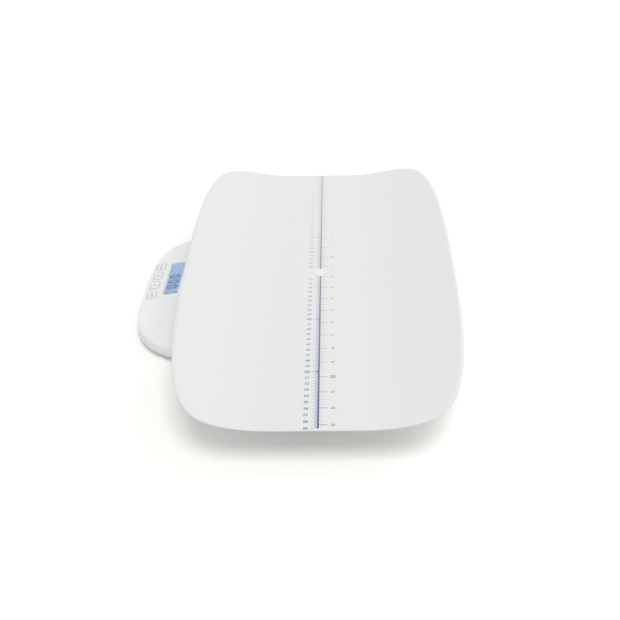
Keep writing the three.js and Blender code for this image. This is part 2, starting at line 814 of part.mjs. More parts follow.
// Foot: a round button with a neck, a rubber pad under it
function footSolid() {
  const low = footPadThickness + seat;
  const rim = footDiameter / 2;
  const neck = footNeckDiameter / 2;
  return turned([
    [0, low], [rim - trayEdgeRound, low], [rim, low + trayEdgeRound], [rim, low + 2 * trayEdgeRound],
    [neck, low + 3 * trayEdgeRound], [neck, footTopZ], [0, footTopZ],
  ]);
}

function footPadSolid() {
  const radius = footPadDiameter / 2;
  return turned([
    [0, 0], [radius - footPadThickness / 2, 0], [radius, footPadThickness / 2],
    [radius, footPadThickness], [0, footPadThickness],
  ]);
}

// Half-bridge load cell: a steel plate with a tongue freed by a U-shaped slot
function cellSolid() {
  const half = cellTongueWidth / 2;
  const reach = cellTongueLength / 2;
  const slot = new THREE.Path();
  slot.moveTo(-half - cellSlot, -reach - cellSlot);
  slot.lineTo(half + cellSlot, -reach - cellSlot);
  slot.lineTo(half + cellSlot, reach);
  slot.lineTo(half, reach);
  slot.lineTo(half, -reach);
  slot.lineTo(-half, -reach);
  slot.lineTo(-half, reach);
  slot.lineTo(-half - cellSlot, reach);
  slot.closePath();
  const shape = roundedShape(cellSize, cellSize, cellSlot);
  shape.holes.push(slot);
  return prism(shape, 0, 0, 0, cellThickness);
}

// Battery lying along X, its nub at the positive end
function batterySolid() {
  const radius = batteryDiameter / 2;
  const nub = batteryNubDiameter / 2;
  const round = batteryNubLength / 2;
  const half = batteryLength / 2;
  const geometry = new THREE.LatheGeometry([
    new THREE.Vector2(0, -half), new THREE.Vector2(radius - round, -half),
    new THREE.Vector2(radius, round - half), new THREE.Vector2(radius, half - round),
    new THREE.Vector2(radius - round, half), new THREE.Vector2(nub, half),
    new THREE.Vector2(nub, half + batteryNubLength), new THREE.Vector2(0, half + batteryNubLength),
  ], roundSides - 6);
  geometry.rotateZ(-Math.PI / 2);
  return solidOf(geometry);
}

function batteryY(i) {
  return compartmentY + (i - (batteryCount - 1) / 2) * batteryPitch;
}

// Contact strip at one end: springs for the flat ends, bumps for the nubs
function contactSolid(side) {
  const width = compartmentWidth - 2 * slip;
  const low = batteryMiddleZ - contactHeight / 2;
  const face = compartmentLength / 2 - seat - contactThickness;
  const x = side * (face + contactThickness / 2);
  let solid = block(contactThickness, width, x, compartmentY, low, low + contactHeight);
  for (let i = 0; i < batteryCount; i += 1) {
    const isSpring = (i % 2 === 0) === (side < 0);
    const height = isSpring ? contactSpringHeight : contactBumpHeight;
    const radius = contactSpringDiameter / 2;
    const geometry = new THREE.CylinderGeometry(radius / 2, radius, height, smallSides);
    geometry.rotateZ(side * Math.PI / 2);
    geometry.translate(side * (face - height / 2 + contactThickness / 2), batteryY(i), batteryMiddleZ);
    solid = solid.add(solidOf(geometry));
  }
  return solid;
}

function doorSolid() {
  let solid = doorShape(0, doorLength);
  for (let i = 0; i < doorGripCount; i += 1) {
    const x = doorLength / 2 - (i + 2) * doorGripPitch;
    solid = solid.subtract(block(
      doorGripWidth, doorGripLength, x, compartmentY, baseUnderZ - overrun, baseUnderZ + doorGripDepth));
  }
  return solid;
}

// Lead along a hand-chosen route
function leadSolid(points) {
  const curve = new THREE.CatmullRomCurve3(points.map(([x, y, z]) => new THREE.Vector3(x, y, z)));
  const section = new THREE.Shape();
  section.absarc(0, 0, leadDiameter / 2, 0, 2 * Math.PI);
  const steps = leadSteps * (points.length - 1);
  const options = { steps, curveSegments: leadSides, extrudePath: curve };
  return solidOf(new THREE.ExtrudeGeometry(section, options));
}

// The group and its bodies
const whole = new THREE.Group();
const placed = new THREE.Group();
placed.position.y = -(baseFrontY + Math.max(...trayStationXs().map(trayReach))) / 2;
whole.add(placed);

function addPiece(parent, name, solid, material, x = 0, y = 0, z = 0) {
  const mesh = new THREE.Mesh(geometryOf(solid), material);
  mesh.name = name;
  mesh.position.set(x, y, z);
  parent.add(mesh);
  return mesh;
}

function addHousings(parent) {
  addPiece(parent, 'upper_housing', upperHousingSolid(), housingWhite);
  addPiece(parent, 'lower_housing', lowerHousingSolid(), housingWhite);
  screwSpots.forEach(([x, y], i) => {
    const solid = screwSolid(screwDiameter, screwLength, screwHeadDiameter, screwHeadHeight);
    const screw = addPiece(parent, `housing_screw_${i + 1}`, solid, steel, x, y, screwSeatZ());
    screw.rotation.x = Math.PI;
  });
}

function addTraySeats(parent) {
  const solid = disc(seatPadDiameter, 0, 0, 0, seatPadThickness);
  let number = 0;
  for (const sideX of [-1, 1]) {
    for (const sideY of [-1, 1]) {
      number += 1;
      const x = sideX * seatSpacingX / 2;
      const y = sideY * seatSpacingY / 2;
      addPiece(parent, `tray_seat_pad_${number}`, solid, rubberGrey, x, y, seatTopZ + seat);
    }
  }
}

function addDisplay(parent) {
  addPiece(parent, 'display_window', windowSolid(), windowClear);
  const backlight = roundedShape(lcdLength - 2 * backlightInset, lcdWidth - 2 * backlightInset, windowRound);
  addPiece(parent, 'lcd_panel', block(lcdLength, lcdWidth, 0, 0, 0, lcdThickness), lcdBlue,
    headMiddleX, windowY, lcdUnderZ);
  addPiece(parent, 'lcd_backlight', prism(backlight, 0, 0, 0, backlightThickness), backlightWhite,
    headMiddleX, windowY, partsZ);
}

function addBoard(parent) {
  addPiece(parent, 'main_board', boardSolid(), boardGreen);
  boardPostSpots().slice(0, 2).forEach(([x, y], i) => {
    const solid = screwSolid(screwDiameter, boardScrewLength, screwHeadDiameter, boardScrewHeadHeight);
    addPiece(parent, `board_screw_${i + 1}`, solid, steel, x, y, partsZ);
  });
  keyXs().forEach((x, i) => {
    addPiece(parent, `${keyNames[i]}_switch`, switchSolid(), switchBlack, x, keyY, partsZ);
  });
  const connector = block(connectorLength, connectorWidth, 0, 0, 0, connectorHeight);
  addPiece(parent, 'lead_connector', connector, backlightWhite,
    headMiddleX, boardBackY - connectorWidth / 2, partsZ);
}

function addFeet(parent) {
  const corners = ['left_front', 'left_back', 'right_front', 'right_back'];
  footPans.forEach(([x, y], i) => {
    addPiece(parent, `foot_${corners[i]}`, footSolid(), housingWhite, x, y, 0);
    addPiece(parent, `foot_pad_${corners[i]}`, footPadSolid(), rubberGrey, x, y, 0);
    addPiece(parent, `load_cell_${corners[i]}`, cellSolid(), steel, x, y, cellUnderZ);
  });
}

function addBatteries(parent) {
  for (let i = 0; i < batteryCount; i += 1) {
    const side = i % 2 === 0 ? 1 : -1;
    const room = (contactSpringHeight - contactBumpHeight - batteryNubLength) / 2;
    const battery = addPiece(parent, `battery_${i + 1}`, batterySolid(), batterySleeve,
      side * room, batteryY(i), batteryMiddleZ);
    if (side < 0) battery.rotation.z = Math.PI;
  }
  addPiece(parent, 'battery_contact_left', contactSolid(-1), contactSteel);
  addPiece(parent, 'battery_contact_right', contactSolid(1), contactSteel);
}

// Leads from the load cells and the battery box to the connector on the board
function addLeads(parent) {
  const low = floorTopZ + leadDiameter;
  const high = partsZ + connectorHeight / 2;
  const over = channelTopZ + floorThickness + leadDiameter;
  const cellZ = cellUnderZ + leadDiameter / 2;
  const end = boardBackY + seat;
  const near = boardBackY + 4 * leadDiameter;
  const pitch = connectorLength / 6;
  const plugX = [-2, -1, 1, 2].map((step) => headMiddleX + step * pitch);
  const besideX = compartmentLength / 2 + 4 * compartmentWall;
  const boxBackY = compartmentY + doorWidth / 2 + 3 * floorThickness;
  const boxFrontY = compartmentY - doorWidth / 2 - 3 * floorThickness;
  footPans.forEach(([x, y], i) => {
    const side = Math.sign(x);
    const start = x - side * (cellSize / 2 + seat);
    const out = x - side * (footRecessDiameter / 2 + 2 * floorThickness);
    const route = [[start, y, cellZ], [out, y, cellZ]];
    if (i % 2 === 1) {
      route.push([side * (besideX + hubSpigotDiameter / 4), boxBackY + hubSpigotDiameter, low]);
      route.push([side * besideX, boxBackY, over]);
      route.push([side * besideX, compartmentY, over]);
      route.push([side * besideX, boxFrontY, over]);
    }
    const plug = side < 0 ? plugX[i % 2] : plugX[3 - i % 2];
    route.push([plug, near, high]);
    route.push([plug, end, high]);
    addPiece(parent, `load_cell_lead_${i + 1}`, leadSolid(route), leadGrey);
  });
  const boxX = -compartmentLength / 2;
  const leadY = compartmentY - batteryPitch;
  const route = [
    [boxX + seat / 2, leadY, batteryMiddleZ],
    [boxX - 3 * leadDiameter, leadY, batteryMiddleZ],
    [boxX - 3 * leadDiameter, boxFrontY, high],
    [headMiddleX, near, high],
    [headMiddleX, end, high],
  ];
  addPiece(parent, 'battery_lead', leadSolid(route), leadGrey);
}

function addTray(parent) {
  addPiece(parent, 'tray', traySolid(), trayWhite);
  addPiece(parent, 'tray_hub', hubSolid(), trayWhite);
  const screw = screwSolid(hubScrewDiameter, hubScrewLength, hubScrewHeadDiameter, hubScrewHeadHeight);
  addPiece(parent, 'tray_hub_screw', screw, steel, 0, 0, capRecessZ + seat);
  addPiece(parent, 'tray_screw_cap', capSolid(), trayWhite);
}

function addKeys(parent) {
  keyXs().forEach((x, i) => {
    const key = new THREE.Group();
    addPiece(key, `${keyNames[i]}_key`, keySolid(x), keyWhite);
    addPiece(key, `${keyNames[i]}_plunger`, plungerSolid(), switchBlack, x, keyY, plungerTopZ - plungerLength);
    parent.add(key);
  });
}

addHousings(placed);
addTraySeats(placed);
addDisplay(placed);
addBoard(placed);
addFeet(placed);
addBatteries(placed);
addLeads(placed);
addTray(placed);
addKeys(placed);
addPiece(placed, 'battery_door', doorSolid(), housingWhite);

export default whole;
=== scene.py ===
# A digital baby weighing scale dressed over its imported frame: a white moulded
# tray with a printed ruler, on a domed base with a blue display and four keys.
import math

import bmesh
import bpy
import numpy as np
from mathutils import Matrix, Vector


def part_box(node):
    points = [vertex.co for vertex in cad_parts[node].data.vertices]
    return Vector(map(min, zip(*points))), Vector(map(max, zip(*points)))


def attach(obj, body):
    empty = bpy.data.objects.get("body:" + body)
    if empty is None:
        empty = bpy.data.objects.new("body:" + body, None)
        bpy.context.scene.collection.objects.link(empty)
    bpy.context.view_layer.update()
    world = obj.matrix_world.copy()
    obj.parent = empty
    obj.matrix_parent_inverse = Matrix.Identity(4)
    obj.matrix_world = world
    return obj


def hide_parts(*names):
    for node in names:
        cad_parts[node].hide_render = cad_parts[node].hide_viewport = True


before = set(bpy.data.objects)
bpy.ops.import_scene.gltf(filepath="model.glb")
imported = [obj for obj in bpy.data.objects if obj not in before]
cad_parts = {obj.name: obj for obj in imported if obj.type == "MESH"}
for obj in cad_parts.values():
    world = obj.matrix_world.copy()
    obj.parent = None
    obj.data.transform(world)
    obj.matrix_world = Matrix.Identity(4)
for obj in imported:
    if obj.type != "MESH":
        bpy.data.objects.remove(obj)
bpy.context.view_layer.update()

MM = 0.001


# Camera. It stands past the near end of the tray and looks along it, from
# about 32 degrees above. The place and turns come from the ruler's ticks.
def corners_of(node):
    """Low and high corner of a CAD node."""
    return [Vector(corner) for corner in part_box(node)]


def placed(name, data):
    """An object at the origin that holds the data, linked to the scene."""
    thing = bpy.data.objects.new(name, data)
    bpy.context.scene.collection.objects.link(thing)
    return thing


tray_low, tray_high = corners_of("tray")
TRAY_MIDDLE = (tray_low + tray_high) / 2
LYING_Z = 45 * MM  # the tray's lying surface
CAMERA_PLACE = Vector((916.0 * MM, TRAY_MIDDLE.y + 19.4 * MM, LYING_Z + 532.8 * MM))
CAMERA_DOWN = 0.56723  # turns, in radians
CAMERA_YAW = -0.03433
CAMERA_ROLL = -0.02928
FOCAL_PIXELS = 847
PICTURE_PIXELS = 620
SENSOR_WIDTH = 36
AXIS_COLUMN = 310.8  # where the lens axis meets the picture
AXIS_ROW = 307.0
NEAREST_SEEN = 0.01

camera_data = bpy.data.cameras.new("camera")
camera_data.sensor_width = SENSOR_WIDTH
camera_data.lens = FOCAL_PIXELS / PICTURE_PIXELS * SENSOR_WIDTH
camera_data.shift_x = (PICTURE_PIXELS / 2 - AXIS_COLUMN) / PICTURE_PIXELS
camera_data.shift_y = (AXIS_ROW - PICTURE_PIXELS / 2) / PICTURE_PIXELS
camera_data.clip_start = NEAREST_SEEN
camera = placed("camera", camera_data)
ahead = Vector((
    -math.cos(CAMERA_DOWN) * math.cos(CAMERA_YAW),
    math.cos(CAMERA_DOWN) * math.sin(CAMERA_YAW),
    -math.sin(CAMERA_DOWN),
))
level_right = ahead.cross(Vector((0, 0, 1))).normalized()
level_up = level_right.cross(ahead)
right = math.cos(CAMERA_ROLL) * level_right + math.sin(CAMERA_ROLL) * level_up
up = -math.sin(CAMERA_ROLL) * level_right + math.cos(CAMERA_ROLL) * level_up
turn = Matrix((right, up, -ahead)).transposed().to_4x4()
camera.matrix_world = Matrix.Translation(CAMERA_PLACE) @ turn
bpy.context.scene.camera = camera


# Studio. An even white surround, a wide soft lamp high above the near end, two
# small ones past the right side and the far end, and a plain white floor.
WHITE = (1, 1, 1, 1)
SURROUND_STRENGTH = 0.5
LAMPS = {  # place, size in metres and watts
    "near_lamp": ((1.5, 0.3, 3.3), 1.8, 55),
    "side_lamp": ((-0.8, 1.6, 1.8), 1.0, 8),
    "far_lamp": ((-1.5, 0.9, 1.3), 0.8, 6.5),
}
FLOOR_HALF = 6.0
FLOOR_WHITE = (0.99, 0.975, 0.95)
FLOOR_BOUNCE = (0.76, 0.755, 0.75)  # the floor as the scale's own sides see it
FLOOR_ROUGHNESS = 0.9
FLOOR_GLOW_NEAR = 0.17  # light added to the floor that the camera sees,
FLOOR_GLOW_FAR = 0.7  # at the scale and past the ring round it
FLOOR_RING = (0.5, 1.1)


def add_node(tree, kind, values=None, sources=None, **settings):
    """A shader node with these settings, and with inputs that hold values or follow sources."""
    node = tree.nodes.new("ShaderNode" + kind)
    for name, value in settings.items():
        setattr(node, name, value)
    for key, value in (values or {}).items():
        node.inputs[key].default_value = value
    for key, source in (sources or {}).items():
        tree.links.new(source, node.inputs[key])
    return node


def seen_directly(tree):
    """1 for the rays that show a background: camera, glossy and transmission rays."""
    path = add_node(tree, "LightPath").outputs
    seen = path["Is Camera Ray"]
    for ray in ("Is Glossy Ray", "Is Transmission Ray"):
        seen = add_node(tree, "Math", None, {0: seen, 1: path[ray]}, operation="MAXIMUM").outputs[0]
    return seen


def object_place(tree):
    """The point on the surface, in metres."""
    return add_node(tree, "TexCoord").outputs["Object"]


def noise(tree, place, scale, detail=2):
    """Soft noise between 0 and 1, with about this many spots to a metre."""
    return add_node(tree, "TexNoise", {"Scale": scale, "Detail": detail}, {"Vector": place}).outputs["Fac"]


def ranged(tree, source, start, stop, low=0, high=1):
    """A number that goes from start to stop as the source goes from low to high."""
    values = {"From Min": low, "From Max": high, "To Min": start, "To Max": stop}
    return add_node(tree, "MapRange", values, {"Value": source}).outputs["Result"]


def blend(tree, share, first, second):
    """A colour that goes from the first to the second as the share goes from 0 to 1."""
    ends = {"A": (*first, 1), "B": (*second, 1)}
    return add_node(tree, "Mix", ends, {"Factor": share}, data_type="RGBA").outputs["Result"]


def new_material(name, colour, roughness, values=None):
    """A material with one Principled shader that has these values; gives it and its nodes."""
    material = bpy.data.materials.new(name)
    material.use_nodes = True
    inputs = material.node_tree.nodes["Principled BSDF"].inputs
    inputs["Base Color"].default_value = (*colour, 1)
    inputs["Roughness"].default_value = roughness
    for key, value in (values or {}).items():
        inputs[key].default_value = value
    return material, material.node_tree


def feed(tree, source, *names):
    """Links a source to the Principled shader's inputs of these names."""
    for name in names:
        tree.links.new(source, tree.nodes["Principled BSDF"].inputs[name])


def flat_piece(name, points, faces):
    """Object from an array of points and an (m, 4) array of faces, each kept the way it faces."""
    mesh = bpy.data.meshes.new(name)
    mesh.from_pydata(points.reshape(-1, 3).tolist(), [], faces.tolist())
    return placed(name, mesh)


bpy.context.scene.view_settings.view_transform = "Standard"
world = bpy.data.worlds.new("studio")
bpy.context.scene.world = world
world.use_nodes = True
sky = world.node_tree
surround = sky.nodes["Background"]
surround.inputs["Color"].default_value = WHITE
surround.inputs["Strength"].default_value = SURROUND_STRENGTH
bare = add_node(sky, "Background", {"Color": WHITE, "Strength": 1})
seen = seen_directly(sky)
choose = add_node(sky, "MixShader", None, {0: seen, 1: surround.outputs[0], 2: bare.outputs[0]})
sky.links.new(choose.outputs[0], sky.nodes["World Output"].inputs[0])

for name, (place, size, watts) in LAMPS.items():
    lamp_data = bpy.data.lights.new(name, "AREA")
    lamp_data.size = size
    lamp_data.energy = watts
    lamp = placed(name, lamp_data)
    lamp.location = place
    lamp.rotation_euler = (TRAY_MIDDLE - Vector(place)).to_track_quat("-Z", "Y").to_euler()

floor_corners = np.array([(-1, -1, 0), (1, -1, 0), (1, 1, 0), (-1, 1, 0)]) * FLOOR_HALF
floor = flat_piece("floor", floor_corners, np.array([(0, 1, 2, 3)]))
floor_material, tree = new_material(
    "floor_white", FLOOR_WHITE, FLOOR_ROUGHNESS, {"Specular IOR Level": 0, "Emission Color": WHITE})
seen = seen_directly(tree)
distance = add_node(tree, "VectorMath", None, {0: object_place(tree)}, operation="LENGTH").outputs["Value"]
glow = ranged(tree, distance, FLOOR_GLOW_NEAR, FLOOR_GLOW_FAR, *FLOOR_RING)
glow_seen = add_node(tree, "Math", None, {0: seen, 1: glow}, operation="MULTIPLY")
feed(tree, glow_seen.outputs[0], "Emission Strength")
feed(tree, blend(tree, seen, FLOOR_BOUNCE, FLOOR_WHITE), "Base Color")
floor.data.materials.append(floor_material)


# Tray. One white moulding, 3.6 mm thick: a level strip along the middle, sides
# that rise in a soft curve, and a barrel outline with a rounded edge. Each
# point lies between the round cap recess and the outline, at the curve's height.
TRAY_HALF_LENGTH = (tray_high.x - tray_low.x) / 2
TRAY_HALF_WIDTH = 164 * MM  # at the middle of its length
TRAY_TAPER = 6.9 * MM  # narrower at the near end, wider at the far end
TRAY_WALL = 3.6 * MM
TRAY_RISE = 24 * MM
TRAY_FLAT_HALF = 46 * MM
TRAY_SOFTNESS = 80 * MM
TRAY_BARREL_POWER = 2.7
TRAY_CORNER_POWER = 9.0
TRAY_UNDER_Z = LYING_Z - TRAY_WALL
RIM_RADIUS = 0.95 * MM  # the wall thins to this half-round at its edge
RIM_BEVEL = 4 * MM  # and is full again this far in, under it
RIM_BAND = 3.6 * MM  # the top is level this far in from the edge
RECESS_RADIUS = 7.9 * MM
RECESS_Z = 41.1 * MM
RECESS_LIP = 0.1 * MM
SCREW_HOLE_RADIUS = 2.35 * MM
HUB_BOSS_RADIUS = 20 * MM
HUB_BOSS_Z = 38.4 * MM
EDGE = 0.5 * MM  # small chamfers on all the mouldings
AROUND = 420
TRAY_TOP_RINGS = 84
TRAY_UNDER_RINGS = 40
RIB_DEPTH = 6 * MM
RIB_WIDTH = 2.2 * MM
RIB_FOOT_SHARE = 0.7  # of its width, at its lower edge
RIB_SINK = 0.5 * MM
LONG_RIB_Y = 50 * MM
LONG_RIB_HALF = 210 * MM
CROSS_RIB_X = np.array([-1.5, -0.5, 0.5, 1.5]) * 105 * MM
CROSS_RIB_REACH = 128 * MM
TRAY_SEAT_X = 80 * MM
TRAY_SEAT_Y = 50 * MM
TRAY_SEAT_RADIUS = 13 * MM
TRAY_SEAT_Z = 33.6 * MM
FINE_STEPS = 40001
SHARP_DEGREES = 35
SAME_POINT = 1e-6
NO_LENGTH = 1e-7


def grid_faces(rows, columns, close_rows=False, close_columns=True):
    """Four-sided faces of a grid of points, whose rows or columns may close on themselves."""
    r = np.arange(rows if close_rows else rows - 1)[:, None]
    c = np.arange(columns if close_columns else columns - 1)[None, :]
    after_r = (r + 1) % rows
    after_c = (c + 1) % columns
    corners = (r * columns + c, r * columns + after_c, after_r * columns + after_c, after_r * columns + c)
    return np.stack(corners, -1).reshape(-1, 4)


def smoothed(mesh, smooth_angle=SHARP_DEGREES):
    """Shades a mesh smooth, apart from edges that turn by more than smooth_angle degrees."""
    mesh.polygons.foreach_set("use_smooth", np.ones(len(mesh.polygons), dtype=bool))
    mesh.set_sharp_from_angle(angle=math.radians(smooth_angle))


def add_surface(name, points, close_rows=False, smooth_angle=SHARP_DEGREES):
    """Object from a (rows, columns, 3) grid of points, whose columns close on themselves.

    Doubled points are merged and the faces are turned outwards.
    """
    thing = flat_piece(name, points, grid_faces(*points.shape[:2], close_rows))
    thing.data.validate()
    shape = bmesh.new()
    shape.from_mesh(thing.data)
    bmesh.ops.remove_doubles(shape, verts=shape.verts, dist=SAME_POINT)
    bmesh.ops.dissolve_degenerate(shape, edges=shape.edges, dist=NO_LENGTH)
    bmesh.ops.recalc_face_normals(shape, faces=shape.faces)
    shape.to_mesh(thing.data)
    shape.free()
    smoothed(thing.data, smooth_angle)
    return thing


def joined(name, *things):
    """One object from several, whose own shells stay as they are."""
    shape = bmesh.new()
    for thing in things:
        shape.from_mesh(thing.data)
        bpy.data.objects.remove(thing)
    mesh = bpy.data.meshes.new(name)
    shape.to_mesh(mesh)
    shape.free()
    smoothed(mesh)
    return placed(name, mesh)


def outline_points(half_x, half_y, power_x, power_y, count, taper=0.0):
    """Points and outward normals of the curve |x/half_x|^power_x + |y/half_y|^power_y = 1.

    y is then scaled by 1 - taper * x / half_x, and the points share out the
    curve's length and its turning evenly.
    """
    angle = np.linspace(0, 2 * np.pi, FINE_STEPS)
    c, s = np.cos(angle), np.sin(angle)
    fine = np.stack([half_x * np.sign(c) * np.abs(c) ** (2 / power_x),
                     half_y * np.sign(s) * np.abs(s) ** (2 / power_y)], -1)
    fine[:, 1] *= 1 - taper * fine[:, 0] / half_x
    steps = np.diff(fine, axis=0)
    lengths = np.hypot(*steps.T)
    heading = np.unwrap(np.arctan2(steps[:, 1], steps[:, 0]))
    turning = np.abs(np.diff(heading, prepend=heading[-1] - 2 * np.pi))
    measure = np.concatenate([[0], np.cumsum(lengths / lengths.sum() + turning / turning.sum())])
    wanted = np.arange(count) / count * measure[-1]
    points = np.stack([np.interp(wanted, measure, axis) for axis in fine.T], -1)
    along = np.roll(points, -1, axis=0) - np.roll(points, 1, axis=0)
    along /= np.hypot(*along.T)[:, None]
    return points, np.stack([along[:, 1], -along[:, 0]], -1)


def raised(points, z):
    """Points in x and y at one height, or each at its own."""
    return np.column_stack([points, np.broadcast_to(z, len(points))])


def tray_lift(y):
    """Height of the trough above its level strip: a hyperbola that starts at the strip's edge."""
    reach = np.maximum(np.abs(y) - TRAY_FLAT_HALF, 0) / TRAY_SOFTNESS
    full = (TRAY_HALF_WIDTH - RIM_BAND - TRAY_FLAT_HALF) / TRAY_SOFTNESS
    return TRAY_RISE * (np.hypot(1, reach) - 1) / (np.hypot(1, full) - 1)


def tray_rings():
    """Rows of points from the screw hole up, over the trough, round the edge and back under."""
    edge, outward = outline_points(
        TRAY_HALF_LENGTH, TRAY_HALF_WIDTH, TRAY_BARREL_POWER, TRAY_CORNER_POWER, AROUND,
        TRAY_TAPER / TRAY_HALF_WIDTH)
    inner = edge - outward * RIM_RADIUS
    band = edge - outward * RIM_BAND
    rim_z = LYING_Z + tray_lift(band[:, 1])
    bevel = inner - outward * RIM_BEVEL
    direction = np.arctan2(inner[:, 1], inner[:, 0])

    def between(inner_radius, share, stop=band):
        start = np.stack([np.cos(direction), np.sin(direction)], -1) * inner_radius
        return start * (1 - share) + stop * share

    def flat(inner_radius, z):
        return raised(between(inner_radius, 0), z)

    rows = [flat(SCREW_HOLE_RADIUS, HUB_BOSS_Z), flat(SCREW_HOLE_RADIUS, RECESS_Z)]
    rows += [flat(RECESS_RADIUS, RECESS_Z), flat(RECESS_RADIUS, LYING_Z - RECESS_LIP)]
    for share in np.linspace(0, 1, TRAY_TOP_RINGS):
        points = between(RECESS_RADIUS + RECESS_LIP, share)
        rows.append(raised(points, LYING_Z + tray_lift(points[:, 1])))
    for angle in np.linspace(0, np.pi, 9):
        points = inner + outward * RIM_RADIUS * np.sin(angle)
        rows.append(raised(points, rim_z + RIM_RADIUS * (np.cos(angle) - 1)))
    for share in np.linspace(1, 0, TRAY_UNDER_RINGS):
        points = between(HUB_BOSS_RADIUS, share, bevel)
        rows.append(raised(points, TRAY_UNDER_Z + tray_lift(points[:, 1])))
    rows += [flat(HUB_BOSS_RADIUS, HUB_BOSS_Z + EDGE), flat(HUB_BOSS_RADIUS - EDGE, HUB_BOSS_Z)]
    return np.array(rows) + [TRAY_MIDDLE.x, TRAY_MIDDLE.y, 0]


def long_rib(name, y):
    """A straight rib along the tray, drawn as a closed loop carried between its two ends."""
    half = RIB_WIDTH / 2
    foot = half * RIB_FOOT_SHARE
    loop = np.array([[-half, RIB_SINK], [half, RIB_SINK], [foot, -RIB_DEPTH], [-foot, -RIB_DEPTH]])
    ends = np.array([-1, -1, 1, 1]) * LONG_RIB_HALF
    rows = [np.column_stack([np.full(4, x), y + loop[:, 0] * w, TRAY_UNDER_Z + loop[:, 1] * w])
            for x, w in zip(ends, (0, 1, 1, 0))]
    return add_surface(name, np.array(rows) + [TRAY_MIDDLE.x, TRAY_MIDDLE.y, 0])


def cross_rib(name, x):
    """A rib across the trough that follows its underside and fades out towards the rim."""
    half = RIB_WIDTH / 2
    foot = half * RIB_FOOT_SHARE
    shares = np.linspace(-1, 1, 81)
    y = shares * CROSS_RIB_REACH
    top = TRAY_UNDER_Z + tray_lift(y) + RIB_SINK
    under = TRAY_UNDER_Z + tray_lift(y) - RIB_DEPTH * (1 - shares ** 4) - RIB_SINK / 2
    corners = [(-half, top), (half, top), (foot, under), (-foot, under)]
    grid = np.stack([np.stack([np.full_like(y, x + dx), y, z], -1) for dx, z in corners], 1)
    first = grid[:1].mean(axis=1, keepdims=True).repeat(4, axis=1)
    last = grid[-1:].mean(axis=1, keepdims=True).repeat(4, axis=1)
    grid = np.concatenate([first, grid, last])
    return add_surface(name, grid + [TRAY_MIDDLE.x, TRAY_MIDDLE.y, 0])


def turned(name, profile, x, y, steps=96, smooth_angle=SHARP_DEGREES):
    """A solid turned about a line along Z from (radius, height) pairs; its ends close on the axis."""
    profile = np.array(profile, dtype=float)
    angle = np.arange(steps) / steps * 2 * np.pi
    grid = np.stack([
        x + profile[:, :1] * np.cos(angle), y + profile[:, :1] * np.sin(angle),
        np.repeat(profile[:, 1:], steps, axis=1)], -1)
    return add_surface(name, grid, smooth_angle=smooth_angle)


tray_parts = [add_surface("tray_shell", tray_rings(), close_rows=True)]
for side in (-1, 1):
    tray_parts.append(long_rib(f"long_rib_{side}", side * LONG_RIB_Y))
for number, x in enumerate(CROSS_RIB_X):
    tray_parts.append(cross_rib(f"cross_rib_{number}", x))
seat_root_z = TRAY_UNDER_Z + float(tray_lift(TRAY_SEAT_Y + TRAY_SEAT_RADIUS)) + RIB_SINK
seats = [(side, TRAY_MIDDLE.x + side * TRAY_SEAT_X, TRAY_MIDDLE.y + end * TRAY_SEAT_Y)
         for side in (-1, 1) for end in (-1, 1)]
for side, x, y in seats:
    tray_parts.append(turned("seat", [
        (0, TRAY_SEAT_Z), (TRAY_SEAT_RADIUS - EDGE, TRAY_SEAT_Z),
        (TRAY_SEAT_RADIUS, TRAY_SEAT_Z + EDGE), (TRAY_SEAT_RADIUS, seat_root_z), (0, seat_root_z)], x, y, 48))
tray = joined("tray_moulding", *tray_parts)

UNEVEN_SPOTS = 9  # to a metre
GLOSS_SPREAD = 0.08  # how far the roughness varies over a moulding
GRAIN_STRENGTH = 0.35


def moulding_group():
    """Fine spark texture and slow unevenness of moulded plastic, from a point in metres."""
    group = bpy.data.node_groups.new("moulded_plastic", "ShaderNodeTree")
    for name, way, kind in (("Place", "INPUT", "Vector"), ("Grain per metre", "INPUT", "Float"),
                            ("Grain", "OUTPUT", "Float"), ("Unevenness", "OUTPUT", "Float")):
        group.interface.new_socket(name, in_out=way, socket_type="NodeSocket" + kind)
    start = group.nodes.new("NodeGroupInput").outputs
    end = group.nodes.new("NodeGroupOutput").inputs
    sources = {"Vector": start["Place"], "Scale": start["Grain per metre"]}
    grain = add_node(group, "TexNoise", {"Detail": 2}, sources)
    group.links.new(grain.outputs["Fac"], end["Grain"])
    group.links.new(noise(group, start["Place"], UNEVEN_SPOTS, 3), end["Unevenness"])
    return group


MOULDING = moulding_group()


def moulded(name, light, dark, roughness, grain_per_metre=900, grain_height=0.02 * MM):
    """Moulded plastic: two near colours mixed by slow unevenness, and a fine grain in the surface."""
    material, tree = new_material(name, light, roughness)
    effect = add_node(tree, "Group", {"Grain per metre": grain_per_metre}, {"Place": object_place(tree)},
                      node_tree=MOULDING).outputs
    uneven = effect["Unevenness"]
    feed(tree, blend(tree, uneven, light, dark), "Base Color")
    feed(tree, ranged(tree, uneven, roughness - GLOSS_SPREAD / 2, roughness + GLOSS_SPREAD / 2), "Roughness")
    bump = add_node(tree, "Bump", {"Strength": GRAIN_STRENGTH, "Distance": grain_height},
                    {"Height": effect["Grain"]})
    feed(tree, bump.outputs["Normal"], "Normal")
    return material


TRAY_PLASTIC = moulded("tray_white", (0.775, 0.783, 0.771), (0.76, 0.769, 0.759), 0.36)
tray.data.materials.append(TRAY_PLASTIC)
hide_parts("tray")
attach(tray, "tray")


